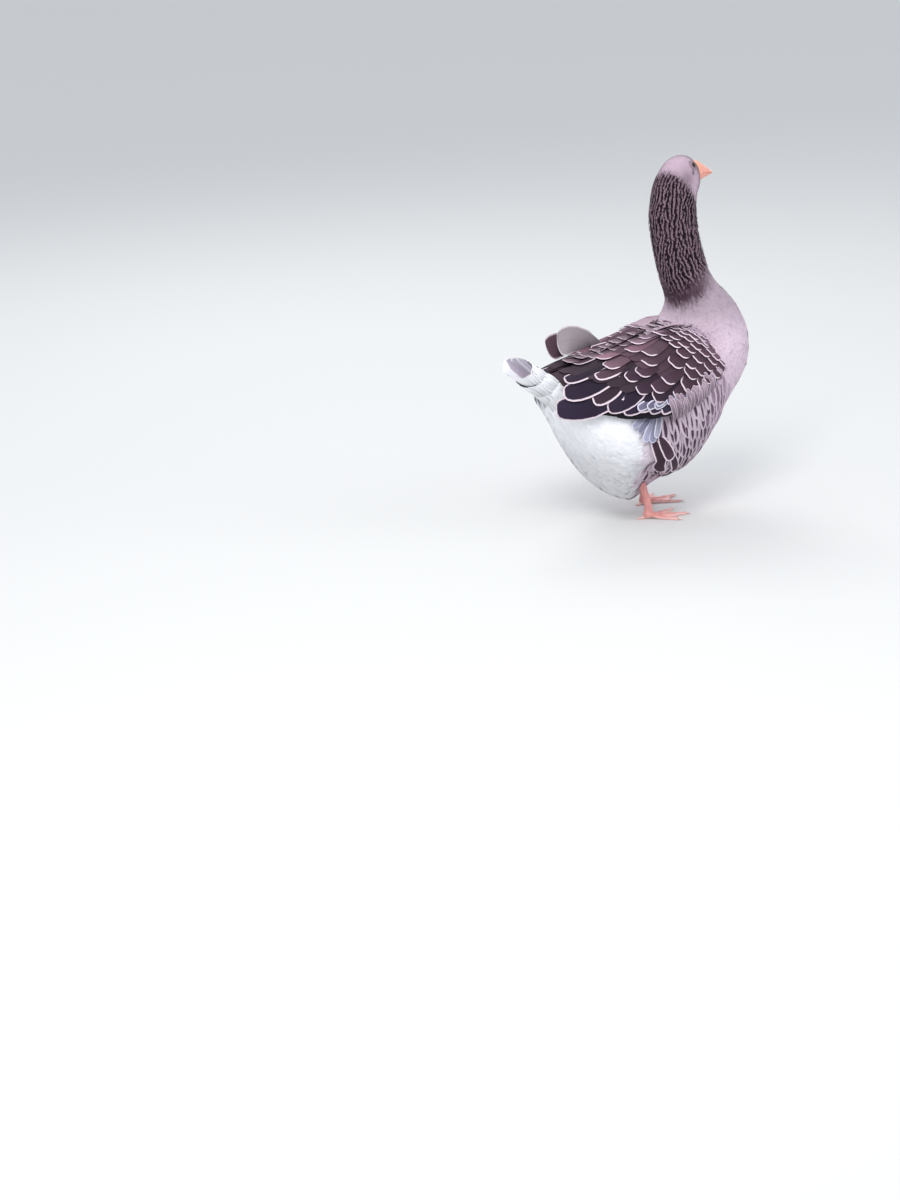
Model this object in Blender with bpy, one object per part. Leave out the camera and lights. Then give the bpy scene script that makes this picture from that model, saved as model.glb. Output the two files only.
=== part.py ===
# A standing grey Toulouse goose, life size, in metres.
# +X is forward, +Y the bird's left and +Z up, with the soles at z = 0.
import math

import bmesh
import bpy
import numpy as np
from mathutils import Matrix, Vector

# Driving dimensions
GAP = 0.0003  # left between two nodes that touch
CLEAR = 0.0007  # how much the torso is grown before it trims what lies on it
STANCE_WIDTH = 0.095  # between the two ankles, side to side
STANCE_STEP = 0.057  # how far the left foot stands ahead of the right
STANCE_X = 0.005  # middle of the two ankles
HEAD_TURN = math.radians(21)  # to the bird's left
HEAD_AXIS_X = 0.083  # upright axis that the head turns about
TURN_FROM = 0.50  # height where the neck starts to turn
TURN_TO = 0.64  # height where the turn is complete

# Outline of body, neck and head as hoops from tail to bill:
# back x and z, belly x and z, half width, lift of the widest line
HOOPS = {
    "tail root": (-0.238, 0.302, -0.226, 0.238, 0.046, 0.00),
    "vent": (-0.206, 0.311, -0.192, 0.186, 0.072, 0.04),
    "rump": (-0.163, 0.322, -0.158, 0.125, 0.099, 0.04),
    "loin": (-0.115, 0.332, -0.118, 0.073, 0.119, 0.00),
    "paunch": (-0.070, 0.342, -0.070, 0.040, 0.128, -0.04),
    "hip": (-0.025, 0.352, -0.032, 0.033, 0.132, -0.04),
    "saddle": (0.015, 0.362, 0.016, 0.064, 0.132, -0.06),
    "keel": (0.044, 0.372, 0.067, 0.085, 0.130, -0.03),
    "shoulder": (0.062, 0.382, 0.117, 0.131, 0.123, 0.00),
    "breast": (0.072, 0.392, 0.172, 0.200, 0.115, 0.00),
    "upper breast": (0.078, 0.404, 0.226, 0.262, 0.106, 0.00),
    "crop": (0.078, 0.422, 0.243, 0.335, 0.090, 0.00),
    "neck root": (0.064, 0.450, 0.218, 0.405, 0.068, 0.00),
    "low neck": (0.049, 0.495, 0.162, 0.465, 0.054, 0.00),
    "mid neck": (0.037, 0.550, 0.137, 0.531, 0.048, 0.00),
    "high neck": (0.030, 0.596, 0.128, 0.586, 0.0455, 0.00),
    "nape": (0.037, 0.640, 0.130, 0.614, 0.044, 0.00),
    "occiput": (0.056, 0.676, 0.136, 0.622, 0.042, 0.05),
    "hind crown": (0.077, 0.697, 0.141, 0.624, 0.0385, 0.05),
    "crown": (0.099, 0.705, 0.146, 0.627, 0.0345, 0.05),
    "brow": (0.119, 0.704, 0.148, 0.634, 0.0290, 0.00),
    "lores": (0.131, 0.699, 0.149, 0.642, 0.0235, 0.00),
    "bill root": (0.138, 0.693, 0.150, 0.648, 0.0195, 0.00),
}
HOOP_NAMES = list(HOOPS)
NECK_FROM = "crop"
HEAD_FROM = "nape"
BODY_SIDES = 36
BODY_HOOPS = 24
NECK_SIDES = 60
NECK_HOOPS = 15
HEAD_SIDES = 28
HEAD_HOOPS = 14

# The flank is drawn up over each leg, and the paunch hangs between and behind the legs
LEG_HOLLOW = {"x": -0.030, "y": 0.050, "rise": 0.045, "ahead": 0.035, "behind": 0.018}
LEG_HOLLOW_BEARING = math.radians(30)  # the hollow runs outwards and this much back

# Furrows of the neck feathers
FURROWS = 15
FURROW_DEPTH = 0.0020
FURROW_WAVE = 0.55  # radians of sideways wander
FURROW_WAVES = 2.3

# Eye and lids
EYE_RADIUS = 0.0066
EYE_X = 0.111
EYE_Z = 0.686
EYE_Y = 0.0255
LID_THICKNESS = 0.0016

# Bill
BILL_TIP_X = 0.213
BILL_TIP_Z = 0.654
BILL_LINE = 0.0004  # half the gap along the mouth line
BILL_TIP_HEIGHT = 0.0085
BILL_TAPER = 0.36
MOUTH_Z = 0.6600  # height of the mouth line at the root, which falls and arches to the tip
MOUTH_FALL = 0.0040
MOUTH_ARCH = 0.0035
NOSTRIL = (0.172, 0.0120, 0.6740)
NOSTRIL_RADII = (0.0043, 0.0042, 0.0019)

# Edges of the folded left wing from shoulder to rear: x, y, z
WING_TOP = (
    (0.080, 0.058, 0.376),
    (0.012, 0.034, 0.374),
    (-0.065, 0.018, 0.354),
    (-0.140, 0.009, 0.338),
    (-0.205, 0.006, 0.326),
    (-0.255, 0.008, 0.316),
)
WING_LOW = (
    (0.146, 0.092, 0.330),
    (0.088, 0.123, 0.298),
    (0.006, 0.141, 0.270),
    (-0.085, 0.142, 0.247),
    (-0.178, 0.105, 0.247),
    (-0.245, 0.054, 0.262),
)
WING_DEPTH = 0.034  # how far the wing's bed goes in before the torso trims it
BED_DROP = 0.0034  # the bed that carries the feathers lies this far under their tips
BED_END = 0.86  # the bed stops here and the tips run on past it

# Vanes
VANE_THICKNESS = 0.0009
VANE_STATIONS = np.array([0.0, 0.55, 0.86, 1.0])
VANE_OUTLINE = np.array([0.62, 1.0, 0.84, 0.30])
VANE_TILT = math.radians(-6)
ROOT_DEPTH = -0.0056
WING_SEED = 29
TAIL_SEED = 5

# Tiers of the wing: count, first and last tip along s and across r, length in s, half width,
# lift of the tips, and how much the vanes swing down towards the rear
WING_TIERS = {
    "primary": (3, (0.99, 0.93), (0.80, 0.98), 0.42, 0.0160, -0.0010, 0.10),
    "secondary": (4, (0.86, 0.64), (0.66, 1.02), 0.36, 0.0215, 0.0002, 0.30),
    "tertial": (4, (0.97, 0.92), (0.16, 0.66), 0.38, 0.0235, 0.0012, 0.22),
    "greater covert": (5, (0.72, 0.44), (0.36, 1.00), 0.26, 0.0215, 0.0016, 0.30),
    "scapular": (3, (0.74, 0.60), (0.10, 0.44), 0.24, 0.0230, 0.0022, 0.16),
    "median covert": (4, (0.54, 0.29), (0.16, 0.92), 0.20, 0.0240, 0.0024, 0.26),
    "lesser covert": (4, (0.38, 0.20), (0.10, 0.88), 0.17, 0.0225, 0.0028, 0.22),
    "shoulder covert": (4, (0.22, 0.12), (0.12, 0.82), 0.12, 0.0190, 0.0030, 0.18),
}

# Feathers of the left wing that stand up off the back: middle line from root to tip, half width,
# and how steeply the inner edge is raised, from root to tip
RAISED_OUTLINE = np.array([0.25, 0.72, 1.0, 0.90, 0.34])
RAISED = {
    "upper": (
        ((-0.040, 0.046, 0.341), (-0.084, 0.052, 0.355), (-0.122, 0.055, 0.369), (-0.155, 0.055, 0.370), (-0.180, 0.051, 0.358)),
        0.0270,
        (4, 40, 58, 60, 50),
    ),
    "lower": (
        ((-0.075, 0.036, 0.331), (-0.115, 0.038, 0.342), (-0.148, 0.041, 0.350), (-0.178, 0.042, 0.350), (-0.200, 0.040, 0.342)),
        0.0210,
        (4, 22, 34, 34, 28),
    ),
}

# Tail
TAIL_STUMP_X = -0.264
TAIL_STUMP_Z = 0.311
TAIL_TILT = math.radians(5)
TAIL_SAG = 0.05  # bend of a tail feather over its length
TAIL_ROOM_ABOVE = 0.0120  # what the wings leave clear above and below the middle of the tail
TAIL_ROOM_BELOW = 0.0300
# Tiers of the tail: count, root, rise, spread to each side, length, half width, drop of the outer ones
TAIL_TIERS = {
    "tail feather": (9, (-0.230, 0.030, 0.293), math.radians(38), math.radians(13), 0.082, 0.0150, 0.005),
    "upper tail covert": (4, (-0.224, 0.027, 0.299), math.radians(32), math.radians(12), 0.052, 0.0150, 0.004),
    "under tail covert": (4, (-0.228, 0.026, 0.274), math.radians(34), math.radians(8), 0.070, 0.0150, -0.005),
}

# Leg and foot
SHANK_RADIUS = 0.0082
ANKLE_HEIGHT = 0.021
HOCK = (-0.022, 0.004, 0.105)  # from the ankle's place on the floor
TOES = {  # bearing outwards in degrees, length, knuckles, radius at the root
    "inner": (-30, 0.062, 2, 0.0062),
    "middle": (4, 0.079, 3, 0.0066),
    "outer": (37, 0.074, 4, 0.0060),
}
HIND_TOE = (188, 0.024, 0.0042)
TOE_SIDES = 8
TOE_SINK = 0.62  # height of a toe's middle line, in radii: what would lie under the floor is its flat sole
TOE_TAPER = 0.38
CLAW_RISE = 0.0004  # claws stay this far off the floor
WEB_THICKNESS = 0.0024
CLAW_LENGTH = 0.010
FOOT_TURN = {"left": math.radians(8), "right": math.radians(22)}  # outwards


# Helpers for shapes
def smooth_step(value, low, high):
    share = np.clip((np.asarray(value, float) - low) / (high - low), 0, 1)
    return share * share * (3 - 2 * share)


def through(points, t):
    """Points of a smooth curve through the rows of points, at places t counted in rows."""
    rows = np.asarray(points, float)
    t = np.clip(np.asarray(t, float), 0, len(rows) - 1)
    i = np.minimum(t.astype(int), len(rows) - 2)
    u = (t - i)[..., None]
    before = rows[np.maximum(i - 1, 0)]
    here = rows[i]
    there = rows[i + 1]
    after = rows[np.minimum(i + 2, len(rows) - 1)]
    return 0.5 * (
        2 * here
        + (there - before) * u
        + (2 * before - 5 * here + 4 * there - after) * u**2
        + (3 * here - before - 3 * there + after) * u**3
    )


def turned(points):
    """Turns what lies high on the neck to the bird's left, and the head with it."""
    points = np.asarray(points, float)
    angle = HEAD_TURN * smooth_step(points[..., 2], TURN_FROM, TURN_TO)
    x = points[..., 0] - HEAD_AXIS_X
    y = points[..., 1]
    return np.stack(
        [
            HEAD_AXIS_X + x * np.cos(angle) - y * np.sin(angle),
            x * np.sin(angle) + y * np.cos(angle),
            points[..., 2],
        ],
        axis=-1,
    )


def body_hoop(t, sides, grow=0.0, shift=0.0, furrow=None):
    """One hoop of the body's surface. It starts at the back and runs round by the bird's left."""
    back_x, back_z, belly_x, belly_z, half_width, lift = through(list(HOOPS.values()), t)
    angle = np.arange(sides) * 2 * math.pi / sides
    up = np.array([back_x - belly_x, back_z - belly_z]) / 2
    height = np.linalg.norm(up)
    up = up / height
    rise = np.cos(angle) + lift * np.sin(angle) ** 2
    ridge = furrow(t, angle) if furrow else 0.0
    far_up = (height + grow + ridge) * rise
    points = np.stack(
        [
            (back_x + belly_x) / 2 + up[0] * far_up + up[1] * shift,
            (half_width + grow + ridge) * np.sin(angle),
            (back_z + belly_z) / 2 + up[1] * far_up - up[0] * shift,
        ],
        axis=-1,
    )
    return turned(points)


def furrow_height(t, angle):
    """The neck feathers stand in wavy upright ridges at the sides and back, and lie smooth low in front."""
    low = HOOP_NAMES.index("neck root")
    high = HOOP_NAMES.index("nape")
    along = smooth_step(t, low - 0.6, low + 1.0) * (1 - smooth_step(t, high - 0.9, high - 0.1))
    front = (1 - np.cos(angle)) / 2
    smooth_front = 1 - smooth_step(front, 0.45, 0.85) * (1 - smooth_step(t, low, low + 2.5))
    wander = FURROW_WAVE * np.sin(FURROW_WAVES * t + 3 * angle)
    return FURROW_DEPTH * along * smooth_front * np.cos(FURROWS * angle + wander)


def mesh_object(name, vertices, faces):
    mesh = bpy.data.meshes.new(name)
    mesh.from_pydata([tuple(map(float, v)) for v in vertices], [], faces)
    shape = bmesh.new()
    shape.from_mesh(mesh)
    bmesh.ops.recalc_face_normals(shape, faces=shape.faces)
    shape.to_mesh(mesh)
    shape.free()
    made = bpy.data.objects.new(name, mesh)
    bpy.context.scene.collection.objects.link(made)
    return made


def loft(name, hoops):
    """A closed solid through hoops of equal count, its ends filled flat."""
    sides = len(hoops[0])
    faces = []
    for ring in range(len(hoops) - 1):
        for side in range(sides):
            a = ring * sides + side
            b = ring * sides + (side + 1) % sides
            faces.append((a, b, b + sides, a + sides))
    faces.append(tuple(range(sides)))
    faces.append(tuple((len(hoops) - 1) * sides + side for side in range(sides)))
    return mesh_object(name, np.concatenate(hoops), faces)


def tube(name, centres, radii, sides=10, flatten=1.0):
    """A closed round bar along centres. flatten squeezes it upright."""
    centres = np.asarray(centres, float)
    hoops = []
    for i, centre in enumerate(centres):
        ahead = centres[min(i + 1, len(centres) - 1)] - centres[max(i - 1, 0)]
        ahead = ahead / np.linalg.norm(ahead)
        side = np.cross(ahead, (0.0, 0.0, 1.0))
        if np.linalg.norm(side) < 0.2:
            side = np.array([0.0, 1.0, 0.0])
        side = side / np.linalg.norm(side)
        up = np.cross(side, ahead)
        angle = np.arange(sides) * 2 * math.pi / sides
        hoops.append(
            centre
            + radii[i] * np.cos(angle)[:, None] * side
            + radii[i] * flatten * np.sin(angle)[:, None] * up
        )
    return loft(name, hoops)


def ball(name, centre, radii, segments=16, rings=10):
    shape = bmesh.new()
    bmesh.ops.create_uvsphere(shape, u_segments=segments, v_segments=rings, radius=1.0)
    mesh = bpy.data.meshes.new(name)
    shape.to_mesh(mesh)
    shape.free()
    mesh.transform(Matrix.Translation(centre) @ Matrix.Diagonal((*radii, 1.0)))
    made = bpy.data.objects.new(name, mesh)
    bpy.context.scene.collection.objects.link(made)
    return made


def block(name, low, high):
    shape = bmesh.new()
    bmesh.ops.create_cube(shape, size=1.0)
    mesh = bpy.data.meshes.new(name)
    shape.to_mesh(mesh)
    shape.free()
    low = Vector(low)
    high = Vector(high)
    mesh.transform(Matrix.Translation((low + high) / 2) @ Matrix.Diagonal((*(high - low), 1.0)))
    made = bpy.data.objects.new(name, mesh)
    bpy.context.scene.collection.objects.link(made)
    return made


# Helpers for joining and cutting
def evaluate(target):
    graph = bpy.context.evaluated_depsgraph_get()
    mesh = bpy.data.meshes.new_from_object(target.evaluated_get(graph))
    target.modifiers.clear()
    target.data = mesh


def join(target, pieces, solver="EXACT"):
    """Joins pieces to target by one union."""
    gathered = bpy.data.collections.new(target.name + " pieces")
    for piece in pieces:
        bpy.context.scene.collection.objects.unlink(piece)
        gathered.objects.link(piece)
    union = target.modifiers.new("join", "BOOLEAN")
    union.operation = "UNION"
    union.operand_type = "COLLECTION"
    union.collection = gathered
    union.solver = solver
    evaluate(target)
    for piece in pieces:
        bpy.data.objects.remove(piece)
    bpy.data.collections.remove(gathered)
    return target


def cut(target, cutter, solver="EXACT"):
    trim = target.modifiers.new("cut", "BOOLEAN")
    trim.operation = "DIFFERENCE"
    trim.object = cutter
    trim.solver = solver
    bpy.context.view_layer.update()
    evaluate(target)
    return target


def keep_largest(target):
    """Drops all but the largest closed surface of a node."""
    shape = bmesh.new()
    shape.from_mesh(target.data)
    unseen = set(shape.verts)
    groups = []
    while unseen:
        todo = [unseen.pop()]
        group = set(todo)
        while todo:
            for edge in todo.pop().link_edges:
                for vertex in edge.verts:
                    if vertex in unseen:
                        unseen.discard(vertex)
                        group.add(vertex)
                        todo.append(vertex)
        groups.append(group)
    largest = max(groups, key=len)
    loose = [vertex for group in groups if group is not largest for vertex in group]
    bmesh.ops.delete(shape, geom=loose, context="VERTS")
    shape.to_mesh(target.data)
    shape.free()
    return target


def finish(target, material, angle=40):
    target.data.materials.clear()
    target.data.materials.append(material)
    target.data.shade_smooth()
    target.data.set_sharp_from_angle(angle=math.radians(angle))
    return target


def hex_colour(code):
    channels = [int(code[i : i + 2], 16) / 255 for i in (0, 2, 4)]
    return [c / 12.92 if c <= 0.04045 else ((c + 0.055) / 1.055) ** 2.4 for c in channels]


def material(name, code, roughness):
    made = bpy.data.materials.new(name)
    made.use_nodes = True
    shader = made.node_tree.nodes["Principled BSDF"]
    shader.inputs["Base Color"].default_value = (*hex_colour(code), 1.0)
    shader.inputs["Roughness"].default_value = roughness
    shader.inputs["Metallic"].default_value = 0.0
    return made


# Body, neck and head
def over_legs(points):
    """Lifts the torso's underside over each leg."""
    x, y, z = points.T
    side = np.abs(y)
    ahead = (x - LEG_HOLLOW["x"]) * math.cos(LEG_HOLLOW_BEARING)
    ahead = ahead + (side - LEG_HOLLOW["y"]) * math.sin(LEG_HOLLOW_BEARING)
    width = np.where(ahead > 0, LEG_HOLLOW["ahead"], LEG_HOLLOW["behind"])
    share = np.exp(-((ahead / width) ** 2)) * smooth_step(side, 0.015, 0.045)
    share = share * (1 - smooth_step(z, 0.080, 0.145))
    return np.stack([x, y, z + LEG_HOLLOW["rise"] * share], axis=-1)


def hoops_between(start, end, count, sides, furrow=None, start_gap=0.0):
    places = np.linspace(start, end, count)
    hoops = [body_hoop(t, sides, furrow=furrow) for t in places]
    if start_gap:
        hoops[0] = body_hoop(places[0], sides, shift=start_gap, furrow=furrow)
    return hoops


def torso(grow=0.0, name="torso"):
    end = HOOP_NAMES.index(NECK_FROM)
    places = np.linspace(0, end, BODY_HOOPS)
    hoops = [over_legs(body_hoop(t, BODY_SIDES, grow)) for t in places]
    if grow:
        hoops.insert(0, body_hoop(0, BODY_SIDES, grow, -grow))
        hoops.append(body_hoop(end, BODY_SIDES, grow, grow))
    return loft(name, hoops)


def neck():
    start = HOOP_NAMES.index(NECK_FROM)
    end = HOOP_NAMES.index(HEAD_FROM)
    return loft("neck", hoops_between(start, end, NECK_HOOPS, NECK_SIDES, furrow_height, GAP))


def eye_place(side):
    return turned([EYE_X, side * EYE_Y, EYE_Z])


def eye_socket_ring(side):
    """The raised lids round one eye."""
    centre = Vector(eye_place(side))
    out = Vector(turned([EYE_X + 0.002, side * (EYE_Y + 0.010), EYE_Z + 0.0015])) - centre
    bpy.ops.mesh.primitive_torus_add(
        major_segments=14,
        minor_segments=6,
        major_radius=EYE_RADIUS,
        minor_radius=LID_THICKNESS,
        location=centre + out.normalized() * 0.0012,
        rotation=out.to_track_quat("Z", "Y").to_euler(),
    )
    lids = bpy.context.object
    bpy.context.view_layer.update()
    lids.data.transform(lids.matrix_world)
    lids.matrix_world = Matrix.Identity(4)
    for collection in list(lids.users_collection):
        collection.objects.unlink(lids)
    bpy.context.scene.collection.objects.link(lids)
    return lids


def head():
    start = HOOP_NAMES.index(HEAD_FROM)
    end = HOOP_NAMES.index("bill root")
    made = loft("head", hoops_between(start, end, HEAD_HOOPS, HEAD_SIDES, None, GAP))
    join(made, [eye_socket_ring(side) for side in (-1, 1)])
    for side in (-1, 1):
        room = ball("eye room", eye_place(side), [EYE_RADIUS + GAP] * 3, 14, 8)
        cut(made, room)
        bpy.data.objects.remove(room)
    return keep_largest(made)


def eyes():
    return [
        ball("eye_" + name, eye_place(side), [EYE_RADIUS] * 3, 14, 8)
        for name, side in (("right", -1), ("left", 1))
    ]


# Bill
def bill_half(upper, steps=9, sides=14):
    """One half of the bill: an arch over the mouth line, or a shallower one under it."""
    root = HOOPS["bill root"]
    middle_z = (root[1] + root[3]) / 2
    hoops = []
    for i in range(steps):
        u = i / (steps - 1)
        line_x = 0.5 * (root[0] + root[2]) + 0.0006
        x = line_x + (BILL_TIP_X - line_x) * u
        line_z = MOUTH_Z - MOUTH_FALL * u + MOUTH_ARCH * math.sin(math.pi * u)
        top_z = root[1] + (BILL_TIP_Z + BILL_TIP_HEIGHT - root[1]) * u**0.80
        low_z = root[3] + (BILL_TIP_Z + 0.0005 - root[3]) * u
        half_width = root[4] * (1 - BILL_TAPER * u) * math.sqrt(max(1 - u**6, 0.16))
        edge = line_z + (BILL_LINE if upper else -BILL_LINE)
        tall = max((top_z - edge) if upper else (edge - low_z), 0.0022)
        tall *= math.sqrt(max(1 - u**8, 0.20))
        lean = (root[0] - root[2]) * (1 - u)
        hoop = []
        for j in range(sides):
            angle = math.pi * j / (sides - 1)
            rise = max(math.sin(angle), 0.0) ** 0.85 * tall
            z = edge + (rise if upper else -rise)
            width = half_width * (1.0 if upper else 0.90)
            hoop.append((x + lean * (z - middle_z) / (root[1] - root[3]), width * math.cos(angle), z))
        hoops.append(turned(hoop))
    return hoops


def nostril(side):
    centre = turned([NOSTRIL[0], side * NOSTRIL[1], NOSTRIL[2]])
    return ball("nostril", centre, NOSTRIL_RADII, 12, 8)


def bill():
    upper = loft("bill_upper", bill_half(True))
    for side in (-1, 1):
        hole = nostril(side)
        cut(upper, hole)
        bpy.data.objects.remove(hole)
    return [keep_largest(upper), loft("bill_lower", bill_half(False))]


# Feathers
def vane(name, centres, normals, half_widths, tilt=0.0, thickness=VANE_THICKNESS):
    """One feather's vane as a thin plate. Both faces have the same triangles."""
    centres = np.asarray(centres, float)
    vertices = []
    for i, centre in enumerate(centres):
        ahead = centres[min(i + 1, len(centres) - 1)] - centres[max(i - 1, 0)]
        side = np.cross(normals[i], ahead)
        side /= np.linalg.norm(side)
        up = np.cross(ahead, side)
        up /= np.linalg.norm(up)
        side, up = side * math.cos(tilt) + up * math.sin(tilt), up * math.cos(tilt) - side * math.sin(tilt)
        half = thickness / 2 * (0.6 if i == len(centres) - 1 else 1.0)
        for across, face in ((-1, 1), (1, 1), (-1, -1), (1, -1)):
            vertices.append(centre + side * half_widths[i] * across + up * half * face)
    faces = []
    for i in range(len(centres) - 1):
        a = 4 * i
        faces += [(a, a + 1, a + 4), (a + 1, a + 5, a + 4)]
        faces += [(a + 2, a + 6, a + 3), (a + 3, a + 6, a + 7)]
        faces += [(a, a + 4, a + 2), (a + 4, a + 6, a + 2)]
        faces += [(a + 1, a + 3, a + 5), (a + 5, a + 3, a + 7)]
    last = 4 * (len(centres) - 1)
    faces += [(0, 2, 1), (1, 2, 3), (last, last + 1, last + 2), (last + 1, last + 3, last + 2)]
    return mesh_object(name, vertices, faces)


# Wings
def wing_point(s, r):
    """A point of the folded left wing: s runs from shoulder to rear, r from the back down."""
    s = np.asarray(s, float)
    r = np.asarray(r, float)
    top = through(WING_TOP, s * (len(WING_TOP) - 1))
    low = through(WING_LOW, s * (len(WING_LOW) - 1))
    down = np.clip(r, 0, 1.2) * math.pi / 2
    out = np.sin(down)
    fall = 1 - np.cos(down)
    return np.stack(
        [
            top[..., 0] + (low[..., 0] - top[..., 0]) * fall,
            top[..., 1] + (low[..., 1] - top[..., 1]) * out,
            top[..., 2] + (low[..., 2] - top[..., 2]) * fall,
        ],
        axis=-1,
    )


def wing_normal(s, r):
    step = 0.01
    along = wing_point(np.minimum(s + step, 1), r) - wing_point(np.maximum(s - step, 0), r)
    across = wing_point(s, r + step) - wing_point(s, np.maximum(r - step, 0))
    normal = np.cross(along, across)
    normal = normal / np.linalg.norm(normal, axis=-1, keepdims=True)
    return np.where(normal[..., 1:2] < 0, -normal, normal)


def wing_bed(name, rows=10, columns=7):
    """The body of the folded wing, thick over the torso and thin behind it."""
    s, r = np.meshgrid(np.linspace(0, BED_END, rows), np.linspace(0.04, 0.97, columns), indexing="ij")
    points = wing_point(s, r)
    normals = wing_normal(s, r)
    rim = np.minimum(smooth_step(s, -0.02, 0.10), smooth_step(1 - r, -0.25, 0.05))
    outer = points - normals * (BED_DROP + 0.003 * (1 - rim))[..., None]
    depth = 0.004 + (WING_DEPTH - 0.004) * (1 - smooth_step(s, 0.50, 0.80))
    inner = points - normals * (BED_DROP + 0.003 + depth)[..., None]
    faces = []
    total = rows * columns
    for i in range(rows - 1):
        for j in range(columns - 1):
            a = i * columns + j
            faces.append((a, a + 1, a + columns))
            faces.append((a + 1, a + columns + 1, a + columns))
            faces.append((a + total, a + total + columns, a + total + 1))
            faces.append((a + total + 1, a + total + columns, a + total + columns + 1))
    for i in range(rows - 1):
        for j in (0, columns - 1):
            a = i * columns + j
            faces.append((a, a + columns, a + columns + total, a + total))
    for j in range(columns - 1):
        for i in (0, rows - 1):
            a = i * columns + j
            faces.append((a, a + 1, a + 1 + total, a + total))
    return mesh_object(name, np.concatenate([outer.reshape(-1, 3), inner.reshape(-1, 3)]), faces)


def wing_vanes(random):
    """Each tier's vanes, laid from the back down, with their roots sunk in the bed."""
    made = []
    for name, tier in WING_TIERS.items():
        count, tip_s, tip_r, length, half_width, lift, swing = tier
        for i in range(count):
            across = i / (count - 1)
            s_tip = tip_s[0] + (tip_s[1] - tip_s[0]) * across + random.uniform(-0.012, 0.012)
            r_tip = tip_r[0] + (tip_r[1] - tip_r[0]) * across + random.uniform(-0.012, 0.012)
            long = length * random.uniform(0.94, 1.06)
            wide = half_width * random.uniform(0.94, 1.06)
            s = s_tip - long * (1 - VANE_STATIONS)
            r = r_tip - swing * long * (1 - VANE_STATIONS) ** 1.3
            r = np.clip(r, 0.0, 1.15)
            rise = ROOT_DEPTH + (lift - ROOT_DEPTH) * VANE_STATIONS**0.8
            normals = wing_normal(np.clip(s, 0, 1), r)
            centres = wing_point(s, r) + normals * rise[:, None]
            made.append(vane(name, centres, normals, wide * VANE_OUTLINE, VANE_TILT))
    return made


def raised_vanes():
    """The inner feathers of the left wing that stand up off the back."""
    made = []
    for name, (line, half_width, slopes) in RAISED.items():
        slopes = np.radians(slopes)
        normals = np.stack([0 * slopes, np.sin(slopes), np.cos(slopes)], axis=-1)
        made.append(vane(name, line, normals, half_width * RAISED_OUTLINE))
    return made


def wing(name, side, rooms, seed):
    """The left wing, or the right one as its mirror image with feathers of its own."""
    vanes = wing_vanes(np.random.default_rng(seed))
    if side > 0:
        vanes += raised_vanes()
    made = join(wing_bed(name), vanes, "MANIFOLD")
    for room in rooms:
        cut(made, room, "MANIFOLD")
    keep_largest(made)
    if side < 0:
        made.data.transform(Matrix.Diagonal((1, -1, 1, 1)))
        made.data.flip_normals()
    return made


# Tail
def tail_direction(bearing, rise):
    """Which way a tail feather points, from its bearing off the midline and its rise."""
    return np.array(
        [-math.cos(bearing) * math.cos(rise), math.sin(bearing), math.cos(bearing) * math.sin(rise)]
    )


def tail_stump():
    """The stump of the tail, which its feathers grow from."""
    root = body_hoop(0, 24, shift=-GAP)
    centre = root.mean(axis=0)
    hoops = [root]
    for u in (0.3, 0.6, 0.85, 1.0):
        middle = centre + (np.array([TAIL_STUMP_X, 0, TAIL_STUMP_Z]) - centre) * u
        hoops.append(middle + (root - centre) * np.array([1 - u, 1 - 0.35 * u, (1 - u) ** 0.8 * 0.9 + 0.10]))
    return loft("tail", hoops)


def tail_vanes(random):
    made = []
    for name, tier in TAIL_TIERS.items():
        count, root, rise, spread, length, half_width, drop = tier
        for i in range(count):
            across = 2 * i / (count - 1) - 1
            bearing = spread * across
            ahead = tail_direction(bearing, rise)
            side = np.array([-math.sin(bearing), -math.cos(bearing), 0])
            up = np.cross(ahead, side)
            up = up if up[2] > 0 else -up
            long = length * (1 - 0.10 * across**2) * random.uniform(0.98, 1.02)
            start = np.array([root[0], root[1] * across, root[2]]) - up * drop * abs(across) ** 1.5
            reach = long * VANE_STATIONS
            sag = up * TAIL_SAG * long
            centres = start + ahead * reach[:, None] - sag * (VANE_STATIONS**2)[:, None]
            tilt = TAIL_TILT * (across if drop > 0 else -across)
            wide = half_width * random.uniform(0.96, 1.04) * VANE_OUTLINE
            made.append(vane(name, centres, [up] * len(centres), wide, tilt))
    return made


def tail_hull(name, grow):
    """The room that the tail takes up from stump to tips, which the wings keep clear of."""
    count, root, rise, spread, length, half_width, drop = TAIL_TIERS["tail feather"]
    hoops = []
    for u in (-0.05, 0.35, 0.7, 1.03):
        middle = np.array([root[0], 0, root[2] - 0.002]) + tail_direction(0, rise) * length * u
        wide = root[1] + math.sin(spread) * length * u + half_width + 0.004 + grow
        thick = TAIL_ROOM_BELOW * (1 - 0.55 * max(u, 0)) + grow
        angle = np.arange(20) * 2 * math.pi / 20
        lift = np.where(np.cos(angle) > 0, TAIL_ROOM_ABOVE + grow, thick)
        hoops.append(
            middle
            + np.stack([0 * angle, wide * np.sin(angle), np.cos(angle) * lift], axis=-1)
        )
    return loft(name, hoops)


def feathered_tail(torso_room):
    made = join(tail_stump(), tail_vanes(np.random.default_rng(TAIL_SEED)), "MANIFOLD")
    cut(made, torso_room, "MANIFOLD")
    return keep_largest(made)


# Legs
def foot_frame(side_name):
    side = 1 if side_name == "left" else -1
    ankle = Vector((STANCE_X + side * STANCE_STEP / 2, side * STANCE_WIDTH / 2, 0))
    turn = Matrix.Rotation(side * FOOT_TURN[side_name], 4, "Z")
    return Matrix.Translation(ankle) @ turn, side


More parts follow.
